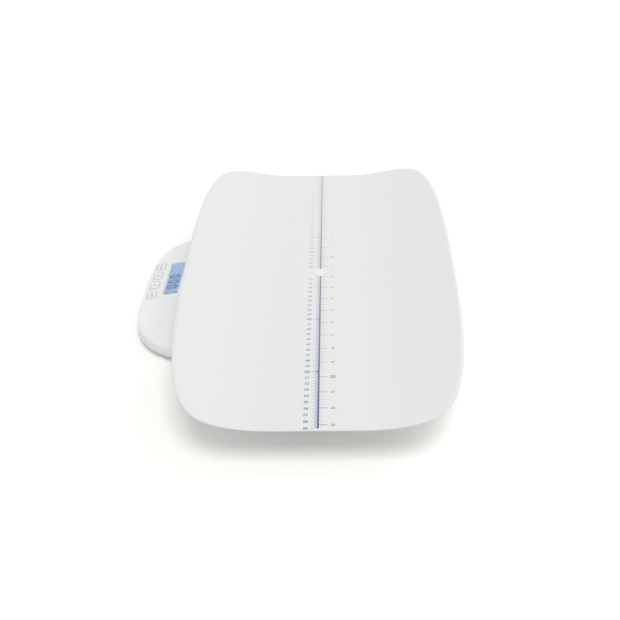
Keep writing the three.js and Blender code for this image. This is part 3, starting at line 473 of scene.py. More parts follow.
# Ruler. Printed on the lying surface in dark and pale blue ink: a dark line with
# a pale band on its display side, centimetres on that side and inches on the
# other. It is made as flat ink shapes that lie just above the plastic.
INK_LIFT = 0.06 * MM
RULER_ZERO_X = TRAY_MIDDLE.x - 293.8 * MM
RULER_CM = 59
CM = 10 * MM
INCH = 25.4 * MM
LINE_HALF = 0.9 * MM
BAND_WIDTH = 2.7 * MM
BAND_GAP = 0.2 * MM
LAST_INCH = 23
CAP_GAP_HALF = 9.2 * MM  # the print stops this far from the cap's middle
TICK_WIDTH = 0.5 * MM
TICK_GAP = 0.3 * MM
CM_TICK = 3.7 * MM
HALF_CM_TICK = 2.1 * MM
INCH_TICK = 7.6 * MM
INCH_TICK_WIDTH = 1.1 * MM
INCH_SHIFT = 0.4 * MM  # the inches start this much later
HALF_INCH_TICK = (0, 6.0 * MM)  # start and length, from the dark line
QUARTER_INCH_TICK = (0.4 * MM, 4.0 * MM)
EIGHTH_INCH_TICK = (1.0 * MM, 1.8 * MM)
PART_INCH_TICKS = {4: HALF_INCH_TICK, 2: QUARTER_INCH_TICK, 6: QUARTER_INCH_TICK}
CM_LABEL_MIDDLE = -12.2 * MM
INCH_LABEL_MIDDLE = 14.4 * MM
PRINT_SHIFT = 1.5 * MM  # the print sits this far off the tray's middle
DIGIT_HEIGHT = 3.5 * MM
TEN_DIGIT_HEIGHT = 4.3 * MM
INCH_DIGIT_HEIGHT = 3.0 * MM
DIGIT_SWELL = 0.04
DIGIT_SPACING = 0.97
TYPE_SIZE = 1.38  # the font's size over the height of its digits
RULER_INKS = {  # colour, white in the specks, white at the far end
    "ink_line": ((0.05, 0.07, 0.19), 0.05, 0.55),
    "ink_band": ((0.46, 0.51, 0.65), 0.3, 0.6),
    "ink_tick": ((0.26, 0.30, 0.43), 0.3, 0.6),
    "ink_digit": ((0.10, 0.135, 0.27), 0.2, 0.8),
}
INK_GONE = (0.8, 0.8, 0.8)  # where the plastic shows through
INK_ROUGHNESS = 0.42
INK_SPECKS = 1400  # to a metre
SPECK_RANGE = (0.35, 0.8)  # of the noise, from none to the whole speck

cap_x, cap_y = TRAY_MIDDLE.x, TRAY_MIDDLE.y
ruler_y = cap_y + PRINT_SHIFT
ruler_z = LYING_Z + INK_LIFT


def ink_boxes(name, boxes):
    """Flat ink rectangles from an (n, 4) list of low x, high x, low y, high y."""
    low_x, high_x, low_y, high_y = np.array(boxes).T
    x = np.stack([low_x, high_x, high_x, low_x], -1)
    y = np.stack([low_y, low_y, high_y, high_y], -1)
    points = np.stack([x, y, np.full_like(x, ruler_z)], -1)
    return flat_piece(name, points, np.arange(x.size).reshape(-1, 4))


def flat_words(name, text, x, y, height, z, turn=0.0, swell=0.01, spacing=1.0):
    """Words as a flat mesh centred at x, y, at the height z(x, y), read along +X turned by turn.

    swell is how much bolder they are, as a share of their height.
    """
    curve = bpy.data.curves.new(name, "FONT")
    curve.body = text
    curve.size = height * TYPE_SIZE
    curve.space_character = spacing
    curve.offset = height * swell
    curve.resolution_u = 4
    thing = bpy.data.objects.new(name, curve)
    flat = bpy.data.meshes.new_from_object(thing)
    bpy.data.objects.remove(thing)
    points = np.zeros(len(flat.vertices) * 3)
    flat.vertices.foreach_get("co", points)
    points = points.reshape(-1, 3)
    points -= (points.min(axis=0) + points.max(axis=0)) / 2
    c, s = math.cos(turn), math.sin(turn)
    px = x + c * points[:, 0] - s * points[:, 1]
    py = y + s * points[:, 0] + c * points[:, 1]
    flat.vertices.foreach_set("co", np.column_stack([px, py, z(px, py)]).ravel())
    flat.update()
    return placed(name, flat)


def ruler_height(x, y):
    """Height of the ruler's ink, which is level."""
    return np.full_like(x, ruler_z)


def ruler_number(value, x, y, height):
    """A printed number, its top towards -X, read towards +Y."""
    return flat_words("number", str(value), x, ruler_y + y, height, ruler_height,
                      math.pi / 2, DIGIT_SWELL, DIGIT_SPACING)


def printed(name, colour, fade, far_fade=0.0):
    """Screen-printed ink: a fine noise brings in up to fade of white, and more white towards the far end.

    The last argument is the share of white at the far end; it grows evenly from none at the near end.
    """
    material, tree = new_material(name, colour, INK_ROUGHNESS)
    place = object_place(tree)
    thin = ranged(tree, noise(tree, place, INK_SPECKS, 3), 0, fade, *SPECK_RANGE)
    parts = add_node(tree, "SeparateXYZ", None, {0: place})
    along = ranged(tree, parts.outputs["X"], 0, far_fade, tray_high.x, tray_low.x)
    white = add_node(tree, "Math", None, {0: thin, 1: along}, operation="ADD", use_clamp=True)
    feed(tree, blend(tree, white.outputs[0], colour, INK_GONE), "Base Color")
    return material


def ink_piece(thing, material, body):
    """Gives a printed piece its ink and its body."""
    thing.data.materials.clear()
    thing.data.materials.append(material)
    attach(thing, body)


ruler_end_x = RULER_ZERO_X + RULER_CM * CM
band_y = ruler_y - LINE_HALF - BAND_WIDTH
stretches = [(RULER_ZERO_X, cap_x - CAP_GAP_HALF), (cap_x + CAP_GAP_HALF, ruler_end_x)]
line = [(a, b, ruler_y - LINE_HALF, ruler_y + LINE_HALF) for a, b in stretches]
band = [(a, b, band_y, ruler_y - LINE_HALF - BAND_GAP) for a, b in stretches]
ticks = []
numbers = []
for half_cm in range(2 * RULER_CM + 1):
    x = RULER_ZERO_X + half_cm * CM / 2
    if abs(x - cap_x) < CAP_GAP_HALF:
        continue
    near = band_y - TICK_GAP
    if half_cm % 20 == 0:
        ticks.append((x - TICK_WIDTH, x + TICK_WIDTH, near - CM_TICK, ruler_y))
        numbers.append(ruler_number(half_cm // 2, x, CM_LABEL_MIDDLE, TEN_DIGIT_HEIGHT))
        continue
    length = CM_TICK if half_cm % 2 == 0 else HALF_CM_TICK
    ticks.append((x - TICK_WIDTH / 2, x + TICK_WIDTH / 2, near - length, near))
    if half_cm % 2 == 0:
        numbers.append(ruler_number(half_cm // 2, x, CM_LABEL_MIDDLE, DIGIT_HEIGHT))
for eighth in range(8 * LAST_INCH + 2):
    x = RULER_ZERO_X + INCH_SHIFT + eighth * INCH / 8
    if abs(x - cap_x) < CAP_GAP_HALF or x > ruler_end_x:
        continue
    inch, part = divmod(eighth, 8)
    near = ruler_y + LINE_HALF
    if part == 0:
        ticks.append((x - INCH_TICK_WIDTH / 2, x + INCH_TICK_WIDTH / 2, near, near + INCH_TICK))
        height = TEN_DIGIT_HEIGHT if inch % 10 == 0 else INCH_DIGIT_HEIGHT
        numbers.append(ruler_number(inch, x, INCH_LABEL_MIDDLE, height))
    else:
        start, length = PART_INCH_TICKS.get(part, EIGHTH_INCH_TICK)
        ticks.append((x - TICK_WIDTH / 2, x + TICK_WIDTH / 2, near + start, near + start + length))

prints = (ink_boxes("ruler_line", line), ink_boxes("ruler_band", band), ink_boxes("ruler_ticks", ticks),
          joined("ruler_numbers", *numbers))
for thing, (name, look) in zip(prints, RULER_INKS.items()):
    ink_piece(thing, printed(name, *look), "tray")


# Cap at the tray's middle. A white snap-in disc over the hub screw: a thin
# skirt, a rounded shoulder and a slightly domed top that stands 0.5 mm proud.
CAP_RADIUS = 7.8 * MM
CAP_TOP_Z = 45.5 * MM
CAP_UNDER_Z = 41.4 * MM
CAP_WALL = 1 * MM
CAP_SHOULDER = 0.5 * MM
CAP_DOME = 0.15 * MM


def cap_profile():
    """Inside of the cap, then its skirt, a quarter-round shoulder and a shallow dome."""
    angle = np.linspace(0, np.pi / 2, 8)
    shoulder_x = CAP_RADIUS - CAP_SHOULDER + CAP_SHOULDER * np.cos(angle)
    shoulder_z = CAP_TOP_Z - CAP_DOME - CAP_SHOULDER + CAP_SHOULDER * np.sin(angle)
    share = np.linspace(1, 0, 12)[1:]
    dome_x = (CAP_RADIUS - CAP_SHOULDER) * share
    dome_z = CAP_TOP_Z - CAP_DOME * share ** 2
    inside = [(0, CAP_TOP_Z - 2 * CAP_WALL), (CAP_RADIUS - CAP_WALL, CAP_TOP_Z - 2 * CAP_WALL),
              (CAP_RADIUS - CAP_WALL, CAP_UNDER_Z), (CAP_RADIUS, CAP_UNDER_Z)]
    return inside + list(zip(shoulder_x, shoulder_z)) + list(zip(dome_x, dome_z))


cap = turned("centre_cap", cap_profile(), cap_x, cap_y, 128, 50)
cap.data.materials.append(moulded("cap_white", (0.83, 0.835, 0.825), (0.81, 0.817, 0.808), 0.3))
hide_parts("tray_screw_cap")
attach(cap, "tray")


# Hub under the tray. A white flanged cup that drops into the base's socket,
# with a post in its middle for the screw.
HUB_TOP_Z = 38.1 * MM
HUB_FLANGE_Z = 35.1 * MM
HUB_UNDER_Z = 19.1 * MM
HUB_FLANGE_RADIUS = 29 * MM
HUB_RADIUS = 17 * MM
HUB_WALL = 2.4 * MM
HUB_POST_RADIUS = 5 * MM
HUB_POST_Z = 26.1 * MM

hub = turned("hub_cup", [
    (SCREW_HOLE_RADIUS, HUB_TOP_Z), (SCREW_HOLE_RADIUS, HUB_POST_Z), (HUB_POST_RADIUS, HUB_POST_Z),
    (HUB_POST_RADIUS, HUB_FLANGE_Z), (HUB_RADIUS - HUB_WALL, HUB_FLANGE_Z),
    (HUB_RADIUS - HUB_WALL, HUB_UNDER_Z), (HUB_RADIUS - HUB_WALL / 3, HUB_UNDER_Z),
    (HUB_RADIUS, HUB_UNDER_Z + HUB_WALL), (HUB_RADIUS, HUB_FLANGE_Z),
    (HUB_FLANGE_RADIUS - EDGE, HUB_FLANGE_Z), (HUB_FLANGE_RADIUS, HUB_FLANGE_Z + EDGE),
    (HUB_FLANGE_RADIUS, HUB_TOP_Z - EDGE), (HUB_FLANGE_RADIUS - EDGE, HUB_TOP_Z),
    (SCREW_HOLE_RADIUS, HUB_TOP_Z)], cap_x, cap_y)
hub.data.materials.append(TRAY_PLASTIC)
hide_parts("tray_hub")
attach(hub, "tray")


# Base. A white domed housing with a rounded square outline: the dome falls to a
# rounded upper edge, over a side that leans out a little towards its foot. The
# shell is cut for the window, the keys and the tray's hub, in its front and middle.
base_low, base_high = corners_of("upper_housing")
BASE_MIDDLE = (base_low + base_high) / 2
BASE_HALF_X = (base_high.x - base_low.x) / 2
BASE_HALF_Y = (base_high.y - base_low.y) / 2
BASE_POWER = 3.5
BASE_APEX_Z = 29.5 * MM
BASE_DROP = 12 * MM
BASE_WALL = 2.5 * MM
BASE_SEAM_Z = 6.5 * MM
BASE_WIDEST_Z = 8.5 * MM
BASE_SIDE_TOP_Z = 16 * MM
BASE_SEAM_INSET = 0.8 * MM
BASE_SEAM_ROUND = 0.7 * MM
BASE_DRAFT = 1.2 * MM  # how far the side leans in up to its top
BASE_EDGE = 3 * MM
EDGE_PULLS = (1.6 * MM, 1.7 * MM)  # of the edge's curve, at the side and the dome
SOCKET_RADIUS = 17.35 * MM
SOCKET_WALL = 2.5 * MM
SOCKET_UNDER_Z = 14 * MM
SEAT_TOP_Z = 31 * MM
BOSS_RADIUS = 4.2 * MM
BOSS_HOLE_RADIUS = 1.75 * MM
BOSS_HOLE_PAST = 1 * MM  # past the screw's tip
BOSS_UNDER_Z = 10.5 * MM
BASE_AROUND = 480

base_unit, _ = outline_points(1, BASE_HALF_Y / BASE_HALF_X, BASE_POWER, BASE_POWER, BASE_AROUND)


def dome_z(x, y):
    """Height of the dome at a point: it falls with the fourth power of the share to the outline."""
    share_x = np.abs((x - BASE_MIDDLE.x) / BASE_HALF_X) ** BASE_POWER
    share_y = np.abs((y - BASE_MIDDLE.y) / BASE_HALF_Y) ** BASE_POWER
    return BASE_APEX_Z - BASE_DROP * (share_x + share_y) ** (4 / BASE_POWER)


def base_ring(half_length, z):
    """The base outline grown or shrunk to a half-length, at one height."""
    return raised(base_unit * half_length + BASE_MIDDLE[:2], z)


def base_side(offset):
    """Rings up the side and round the upper edge, on a cubic curve that meets the dome smoothly."""
    turn_share = 1 - (BASE_DRAFT + BASE_EDGE) / BASE_HALF_X
    turn_z = BASE_APEX_Z - BASE_DROP * turn_share ** 4
    slope = 4 * BASE_DROP * turn_share ** 3 / BASE_HALF_X
    t = np.linspace(0, 1, 14)[:, None]
    lean = BASE_DRAFT / (BASE_SIDE_TOP_Z - BASE_WIDEST_Z)
    start = np.array([BASE_DRAFT, BASE_SIDE_TOP_Z])
    stop = np.array([BASE_DRAFT + BASE_EDGE, turn_z])
    pull_start = start + np.array([lean, 1.0]) * EDGE_PULLS[0]
    pull_stop = stop - np.array([1, slope]) * EDGE_PULLS[1]
    arc = ((1 - t) ** 3 * start + 3 * (1 - t) ** 2 * t * pull_start
           + 3 * (1 - t) * t ** 2 * pull_stop + t ** 3 * stop)
    rings = [(BASE_SEAM_INSET, BASE_SEAM_Z), (BASE_SEAM_INSET * 0.3, BASE_SEAM_Z + BASE_SEAM_ROUND)]
    rings += [(0, BASE_WIDEST_Z), (BASE_DRAFT / 2, (BASE_WIDEST_Z + BASE_SIDE_TOP_Z) / 2)]
    rings += arc.tolist()
    return [base_ring(BASE_HALF_X - inset + offset, z + min(offset, 0) * (z > BASE_SIDE_TOP_Z))
            for inset, z in rings]


def base_shell_rows():
    """Rings of the closed shell: inside from the middle out and down, then outside and back up."""
    shares = np.linspace(1 - (BASE_DRAFT + BASE_EDGE) / BASE_HALF_X, 0, 60)[1:]
    heights = BASE_APEX_Z - BASE_DROP * shares ** 4
    outside = base_side(0)
    outside += [base_ring(BASE_HALF_X * share, z) for share, z in zip(shares, heights)]
    inside = base_side(-BASE_WALL)[1:]
    inside += [base_ring((BASE_HALF_X - BASE_WALL) * share, z - BASE_WALL)
               for share, z in zip(shares[::3], heights[::3])]
    inside.append(base_ring(0, BASE_APEX_Z - BASE_WALL))
    first = base_ring(BASE_HALF_X - BASE_SEAM_INSET - BASE_WALL, BASE_SEAM_Z)
    return np.array(inside[::-1] + [first] + outside)


# The window and the keys are plates whose tops follow the dome.
HEAD_X = TRAY_MIDDLE.x - 25.4 * MM
HEAD_FRONT_Y = base_low.y
WINDOW_Y = HEAD_FRONT_Y + 37.5 * MM
WINDOW_SIZE = np.array([79, 19]) * MM
WINDOW_ROUND = 1.2 * MM
WINDOW_SINK = 0.2 * MM
WINDOW_THICK = 1.4 * MM
VIEW_SIZE = WINDOW_SIZE - 2 * 1.2 * MM  # inside the window's ledge
VIEW_ROUND = 0.8 * MM
KEY_Y = HEAD_FRONT_Y + 13.5 * MM
KEY_SIZE = np.array([19, 12.6]) * MM
KEY_ROUND = 3.6 * MM
KEY_PITCH = 24 * MM
KEY_NAMES = ("power", "tare", "hold", "unit")
KEY_RISE = 0.5 * MM
KEY_EDGE = 0.35 * MM
KEY_SLIP = 0.35 * MM
WINDOW_SLIP = 0.15 * MM
WINDOW_CUT = (WINDOW_SINK + WINDOW_THICK + 0.3 * MM, 3 * MM)  # cutters, below and above the dome
VIEW_CUT = (4 * MM, 2.5 * MM)
KEY_CUT = (5 * MM, 2 * MM)
SOCKET_CUT = (10 * MM, 40 * MM)  # from and to these heights
PLATE_AROUND = 96
LEAST_ROUND = 0.2 * MM
KEY_X = [HEAD_X + (i - 1.5) * KEY_PITCH for i in range(4)]


def rounded_outline(size, radius):
    """Outline of a rounded rectangle about zero, with its points spread over corners and sides."""
    half = np.array(size) / 2 - radius
    rows = []
    for number, signs in enumerate(((1, 1), (-1, 1), (-1, -1), (1, -1))):
        angle = (number + np.linspace(0, 1, PLATE_AROUND // 4)) * np.pi / 2
        rows.append(signs * half + radius * np.stack([np.cos(angle), np.sin(angle)], -1))
    return np.concatenate(rows)


def dome_plate(name, size, radius, x, y, levels):
    """A plate between the dome and copies of it at other heights.

    levels is a list of (inset, rise, flat): the outline shrunk by inset, at the
    dome's height plus rise, or at the plain height flat where that is given.
    The first and last levels are filled in to the middle.
    """
    def row(inset, rise, flat, share=1.0):
        outline = rounded_outline(np.array(size) - 2 * inset, max(radius - inset, LEAST_ROUND))
        points = outline * share + [x, y]
        return raised(points, dome_z(*points.T) + rise if flat is None else flat)

    shares = np.linspace(0, 1, 9)[:-1]
    rows = [row(*levels[0], share) for share in shares]
    rows += [row(*level) for level in levels]
    rows += [row(*levels[-1], share) for share in shares[::-1]]
    return add_surface(name, np.array(rows))


def dome_cutter(name, size, radius, x, y, below, above):
    """A plate that reaches from below the dome to above it, to cut an opening with."""
    return dome_plate(name, size, radius, x, y, [(0, -below, None), (0, above, None)])


def carve(target, cutters):
    """Cuts the cutters out of the target mesh and removes them."""
    tool = joined("cutter", *cutters)
    change = target.modifiers.new("cut", "BOOLEAN")
    change.operation = "DIFFERENCE"
    change.solver = "EXACT"
    change.use_self = True
    change.object = tool
    graph = bpy.context.evaluated_depsgraph_get()
    graph.update()
    result = bpy.data.meshes.new_from_object(target.evaluated_get(graph))
    target.modifiers.clear()
    target.data = result
    bpy.data.objects.remove(tool)
    smoothed(result)


def round_place(node):
    """Middle x and y, half width, low height and high height of a round CAD node."""
    low, high = corners_of(node)
    return (low.x + high.x) / 2, (low.y + high.y) / 2, (high.x - low.x) / 2, low.z, high.z


def under_dome(x, y):
    """Height in the middle of the housing's wall, where posts and bosses end."""
    return float(dome_z(np.array([x]), np.array([y]))[0]) - BASE_WALL / 2


shell = add_surface("housing_shell", base_shell_rows())
cut_low, cut_high = SOCKET_CUT
carve(shell, [
    dome_cutter("window_recess", WINDOW_SIZE + 2 * WINDOW_SLIP, WINDOW_ROUND, HEAD_X, WINDOW_Y, *WINDOW_CUT),
    dome_cutter("view", VIEW_SIZE, VIEW_ROUND, HEAD_X, WINDOW_Y, *VIEW_CUT),
    *[dome_cutter("key_hole", KEY_SIZE + 2 * KEY_SLIP, KEY_ROUND, x, KEY_Y, *KEY_CUT) for x in KEY_X],
    turned("socket_hole", [
        (0, cut_low), (SOCKET_RADIUS, cut_low), (SOCKET_RADIUS, cut_high), (0, cut_high)], cap_x, cap_y)])

collar_top_z = BASE_APEX_Z - BASE_WALL / 2
housing_parts = [shell, turned("socket_collar", [
    (SOCKET_RADIUS, SOCKET_UNDER_Z), (SOCKET_RADIUS + SOCKET_WALL, SOCKET_UNDER_Z),
    (SOCKET_RADIUS + SOCKET_WALL, collar_top_z), (SOCKET_RADIUS, collar_top_z),
    (SOCKET_RADIUS, SOCKET_UNDER_Z)], cap_x, cap_y)]
for side, x, y in seats:
    low = under_dome(x + side * TRAY_SEAT_RADIUS, y)
    housing_parts.append(turned("seat_boss", [
        (0, low), (TRAY_SEAT_RADIUS, low), (TRAY_SEAT_RADIUS, SEAT_TOP_Z - EDGE),
        (TRAY_SEAT_RADIUS - EDGE, SEAT_TOP_Z), (0, SEAT_TOP_Z)], x, y, 64))
screw_nodes = [f"housing_screw_{i}" for i in range(1, 7)]
for node in screw_nodes:
    x, y, _, _, tip_z = round_place(node)
    top = under_dome(x, y)
    housing_parts.append(turned("screw_boss", [
        (BOSS_HOLE_RADIUS, BOSS_UNDER_Z), (BOSS_RADIUS, BOSS_UNDER_Z), (BOSS_RADIUS, top), (0, top),
        (0, tip_z + BOSS_HOLE_PAST), (BOSS_HOLE_RADIUS, tip_z + BOSS_HOLE_PAST),
        (BOSS_HOLE_RADIUS, BOSS_UNDER_Z)], x, y, 32))
housing = joined("base_housing", *housing_parts)
# The housing's white is set paler than the tray's as painted light: it makes up for the tray's shadow on the
# head.
housing.data.materials.append(moulded("housing_white", (0.93, 0.934, 0.932), (0.915, 0.921, 0.92), 0.22))
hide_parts("upper_housing")
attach(housing, "base")


# Lower housing and battery door. The same white plastic, with a coarser grain
# on the underside, as such bases have where they are not polished.
def dress(node, material):
    """Gives a CAD node a material in every slot."""
    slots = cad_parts[node].material_slots
    for place in slots:
        place.material = material
    if not slots:
        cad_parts[node].data.materials.append(material)


UNDER_PLASTIC = moulded("under_white", (0.78, 0.785, 0.785), (0.75, 0.757, 0.76), 0.5, 700, 0.05 * MM)
dress("lower_housing", UNDER_PLASTIC)
dress("battery_door", moulded("door_white", (0.79, 0.795, 0.795), (0.76, 0.767, 0.77), 0.45, 800, 0.04 * MM))


# Display. A clear moulded window over a light blue liquid crystal panel, whose
# glass stands up into the opening in the housing. Dark blue segments show three
# zeros and a small kg mark at the lower right.
LCD_BLUE = (0.195, 0.37, 0.60)
# Painted shade: the panel darkens towards the edges of the view, where the opening's walls shade it.
LCD_EDGE_SHADE_BLUE = (0.13, 0.24, 0.42)
# The glow stands for the panel's backlight, and partly is painted light that makes up for the window's shadow
# on it.
LCD_GLOW = 0.3
LCD_EDGE_SHADE_POWERS = {"X": 60.0, "Y": 16.0}  # how late it darkens towards each edge
LCD_INK = (0.005, 0.05, 0.27)
LCD_INK_PALER = (0.0065, 0.065, 0.297)
# The segments' glow is the backlight through them, and partly painted light under the window's shadow.
LCD_INK_GLOW = 0.4
LCD_GLASS_RISE = -2.1 * MM  # top of the glass, from the dome's height
LCD_GLASS_SLIP = 0.1 * MM
LCD_GLASS_EDGE = 0.2 * MM
LCD_GLASS_ROUND = 0.6 * MM
LCD_INK_RISE = LCD_GLASS_RISE + 0.08 * MM
LENS_TINT = (0.93, 0.96, 1.0)
LENS_IOR = 1.46
LENS_ROUGHNESS = (0.03, 0.09)
LENS_EDGE = 0.25 * MM
LENS_EDGE_MIDDLE = 0.08 * MM
DIGIT_PITCH = 12.8 * MM
DIGIT_SIZE = (10 * MM, 14.4 * MM)
DIGIT_ROUND = 4.1 * MM
DIGIT_STROKE = 3.6 * MM
DIGIT_LEAST_ROUND = 0.4 * MM
DIGIT_GAP_HALF = 0.35 * MM
DIGIT_X = TRAY_MIDDLE.x - 4.9 * MM  # middle of the last digit
DIGIT_Y = TRAY_MIDDLE.y - 188.3 * MM
UNIT_X = TRAY_MIDDLE.x + 6.6 * MM
UNIT_Y = TRAY_MIDDLE.y - 192.3 * MM
UNIT_HEIGHT = 4.2 * MM

window = dome_plate("window_lens", WINDOW_SIZE, WINDOW_ROUND, HEAD_X, WINDOW_Y, [
    (0, -WINDOW_SINK - WINDOW_THICK, None), (0, -WINDOW_SINK - LENS_EDGE, None),
    (LENS_EDGE_MIDDLE, -WINDOW_SINK - LENS_EDGE_MIDDLE, None), (LENS_EDGE, -WINDOW_SINK, None)])
lens_material, tree = new_material(
    "window_clear", LENS_TINT, 0.05, {"Transmission Weight": 1, "IOR": LENS_IOR})
feed(tree, ranged(tree, noise(tree, object_place(tree), 60), *LENS_ROUGHNESS), "Roughness")
window.data.materials.append(lens_material)
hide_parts("display_window")
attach(window, "base")


def glowing(name, colour, shade_colour, strength):
    """Backlit panel colour with a painted shade of the opening's walls towards the edges of the view.

    It glows a little. The share of the painted shade colour is the greater of x and y, each a
    share of the half view raised to its own power.
    """
    material, tree = new_material(name, colour, 0.25, {"Emission Strength": strength})
    view = {"Location": (HEAD_X, WINDOW_Y, 0), "Scale": (*(VIEW_SIZE / 2), 1)}
    move = add_node(tree, "Mapping", view, {"Vector": object_place(tree)}, vector_type="TEXTURE")
    parts = add_node(tree, "SeparateXYZ", None, {0: move.outputs["Vector"]})
    powers = []
    for axis, power in LCD_EDGE_SHADE_POWERS.items():
        size = add_node(tree, "Math", None, {0: parts.outputs[axis]}, operation="ABSOLUTE")
        powers.append(add_node(tree, "Math", {1: power}, {0: size.outputs[0]}, operation="POWER").outputs[0])
    total = add_node(tree, "Math", None, dict(enumerate(powers)), operation="MAXIMUM", use_clamp=True)
    feed(tree, blend(tree, total.outputs[0], colour, shade_colour), "Base Color", "Emission Color")
    return material


lcd_low, lcd_high = corners_of("lcd_panel")
lcd_size = (lcd_high.x - lcd_low.x, lcd_high.y - lcd_low.y)
lcd_x, lcd_y = (lcd_low.x + lcd_high.x) / 2, (lcd_low.y + lcd_high.y) / 2
lcd_base = dome_plate("lcd_base", lcd_size, EDGE, lcd_x, lcd_y, [(0, 0, lcd_low.z), (0, 0, lcd_high.z)])
lcd_glass = dome_plate("lcd_glass", VIEW_SIZE - 2 * LCD_GLASS_SLIP, LCD_GLASS_ROUND, HEAD_X, WINDOW_Y, [
    (0, 0, lcd_high.z - LCD_GLASS_EDGE), (0, LCD_GLASS_RISE - LCD_GLASS_EDGE, None),
    (LCD_GLASS_EDGE, LCD_GLASS_RISE, None)])
lcd = joined("lcd_cell", lcd_base, lcd_glass)
lcd.data.materials.append(glowing("lcd_blue", LCD_BLUE, LCD_EDGE_SHADE_BLUE, LCD_GLOW))
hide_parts("lcd_panel")
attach(lcd, "base")
dress("lcd_backlight", moulded("diffuser", (0.75, 0.82, 0.9), (0.7, 0.78, 0.88), 0.4))


def lcd_ink_z(x, y):
    """Height of the display's ink, just above the glass."""
    return dome_z(x, y) + LCD_INK_RISE


def digit_halves(name, middle_x, middle_y):
    """A seven-segment zero as two flat U shapes, each a strip between an outer and an inner path.

    A path runs up one side from the gap, round two quarter circles and down the other side.
    """
    angle = np.linspace(0, np.pi / 2, 9)
    paths = []
    for inset in (0, DIGIT_STROKE):
        half_w, half_h = DIGIT_SIZE[0] / 2 - inset, DIGIT_SIZE[1] / 2 - inset
        turn = max(DIGIT_ROUND - inset, DIGIT_LEAST_ROUND)
        right_x = half_w - turn + turn * np.cos(angle)
        left_x = -half_w + turn - turn * np.sin(angle)
        right_y = half_h - turn + turn * np.sin(angle)
        left_y = half_h - turn + turn * np.cos(angle)
        x = np.concatenate([[half_w], right_x, left_x, [-half_w]])
        y = np.concatenate([[DIGIT_GAP_HALF], right_y, left_y, [DIGIT_GAP_HALF]])
        paths.append(np.stack([x, y], -1))
    halves = []
    for side in (1, -1):
        points = np.array(paths) * side + (middle_x, middle_y)
        points = np.dstack([points, lcd_ink_z(points[:, :, 0], points[:, :, 1])])
        faces = grid_faces(2, points.shape[1], close_columns=False)[:, ::-1]
        halves.append(flat_piece(name, points, faces))
    return halves


lcd_marks = []
for i in range(3):
    lcd_marks += digit_halves(f"lcd_digit_{i}", DIGIT_X - i * DIGIT_PITCH, DIGIT_Y)
lcd_marks.append(flat_words("lcd_unit", "kg", UNIT_X, UNIT_Y, UNIT_HEIGHT, lcd_ink_z))
ink_material, tree = new_material(
    "lcd_ink", LCD_INK, 0.3, {"Emission Color": (*LCD_INK, 1), "Emission Strength": LCD_INK_GLOW})
feed(tree, blend(tree, noise(tree, object_place(tree), 500), LCD_INK, LCD_INK_PALER), "Base Color")
ink_piece(joined("lcd_marks", *lcd_marks), ink_material, "base")


# Keys. Four white caps in the housing's openings, level with the dome, each
# with a fine printed outline and a small generic mark in grey-blue ink.
KEY_OUTLINE_INSET = 0.05 * MM
KEY_OUTLINE_WIDTH = 0.85 * MM
KEY_OUTLINE_ROUND = 4.8 * MM
KEY_INK_LIFT = 0.05 * MM
KEY_FLANGE = 0.7 * MM
KEY_FLANGE_TOP_Z = 15.55 * MM
KEY_FLANGE_UNDER_Z = 15 * MM
KEY_LAP = 0.2 * MM  # how far the cap reaches into its flange
KEY_STEM_RADIUS = 2 * MM
KEY_STEM_UNDER_Z = 14.3 * MM
KEY_MARKS = {  # words and their height
    "power": ("ON/OFF", 2.9 * MM), "tare": ("0", 4.6 * MM),
    "hold": ("II", 4.2 * MM), "unit": ("kg/lb", 3.6 * MM),
}

KEY_PLASTIC = moulded("key_white", (0.915, 0.92, 0.92), (0.90, 0.906, 0.91), 0.3)
OUTLINE_INK = printed("key_outline_ink", (0.50, 0.53, 0.64), 0.2)
MARK_INK = printed("key_mark_ink", (0.33, 0.36, 0.47), 0.2)


def key_ink_z(x, y):
    """Height of the keys' ink, just above their tops."""
    return dome_z(x, y) + KEY_RISE + KEY_INK_LIFT


def outline_ring(name, x, y):
    """A flat printed ring that follows the key's outline and the dome's height."""
    rows = []
    for inset in (KEY_OUTLINE_INSET, KEY_OUTLINE_INSET + KEY_OUTLINE_WIDTH):
        points = rounded_outline(KEY_SIZE - 2 * KEY_EDGE - 2 * inset, KEY_OUTLINE_ROUND - inset) + [x, y]
        rows.append(raised(points, key_ink_z(*points.T)))
    return flat_piece(name, np.array(rows), grid_faces(2, len(rows[0]))[:, ::-1])


for name, x in zip(KEY_NAMES, KEY_X):
    body = f"{name}_key"
    key_cap = dome_plate(f"{name}_cap", KEY_SIZE, KEY_ROUND, x, KEY_Y, [
        (0, 0, KEY_FLANGE_TOP_Z - KEY_LAP), (0, KEY_RISE - KEY_EDGE, None),
        (KEY_EDGE * 0.3, KEY_RISE - KEY_EDGE * 0.3, None), (KEY_EDGE, KEY_RISE, None)])
    flange = dome_plate(f"{name}_flange", KEY_SIZE + 2 * KEY_FLANGE, KEY_ROUND, x, KEY_Y, [
        (0, 0, KEY_FLANGE_UNDER_Z), (0, 0, KEY_FLANGE_TOP_Z)])
    stem = turned(f"{name}_stem", [
        (0, KEY_STEM_UNDER_Z), (KEY_STEM_RADIUS, KEY_STEM_UNDER_Z), (KEY_STEM_RADIUS, KEY_FLANGE_TOP_Z),
        (0, KEY_FLANGE_TOP_Z)], x, KEY_Y, 32)
    key = joined(f"{name}_button", key_cap, flange, stem)
    key.data.materials.append(KEY_PLASTIC)
    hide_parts(body)
    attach(key, body)
    ink_piece(outline_ring(f"{name}_outline", x, KEY_Y), OUTLINE_INK, body)
    words, height = KEY_MARKS[name]
    ink_piece(flat_words(f"{name}_mark", words, x, KEY_Y, height, key_ink_z), MARK_INK, body)


# Board and switches inside the front of the base. A green board carries four
# black switches, whose plungers stand under the keys, and a milky connector
# for the leads. All of them keep the CAD's shapes.
TRACK_WAVES = {"Scale": 220, "Distortion": 6, "Detail": 1}
TRACK_STEP = (0.55, 0.65)  # of the wave, from bare mask to track


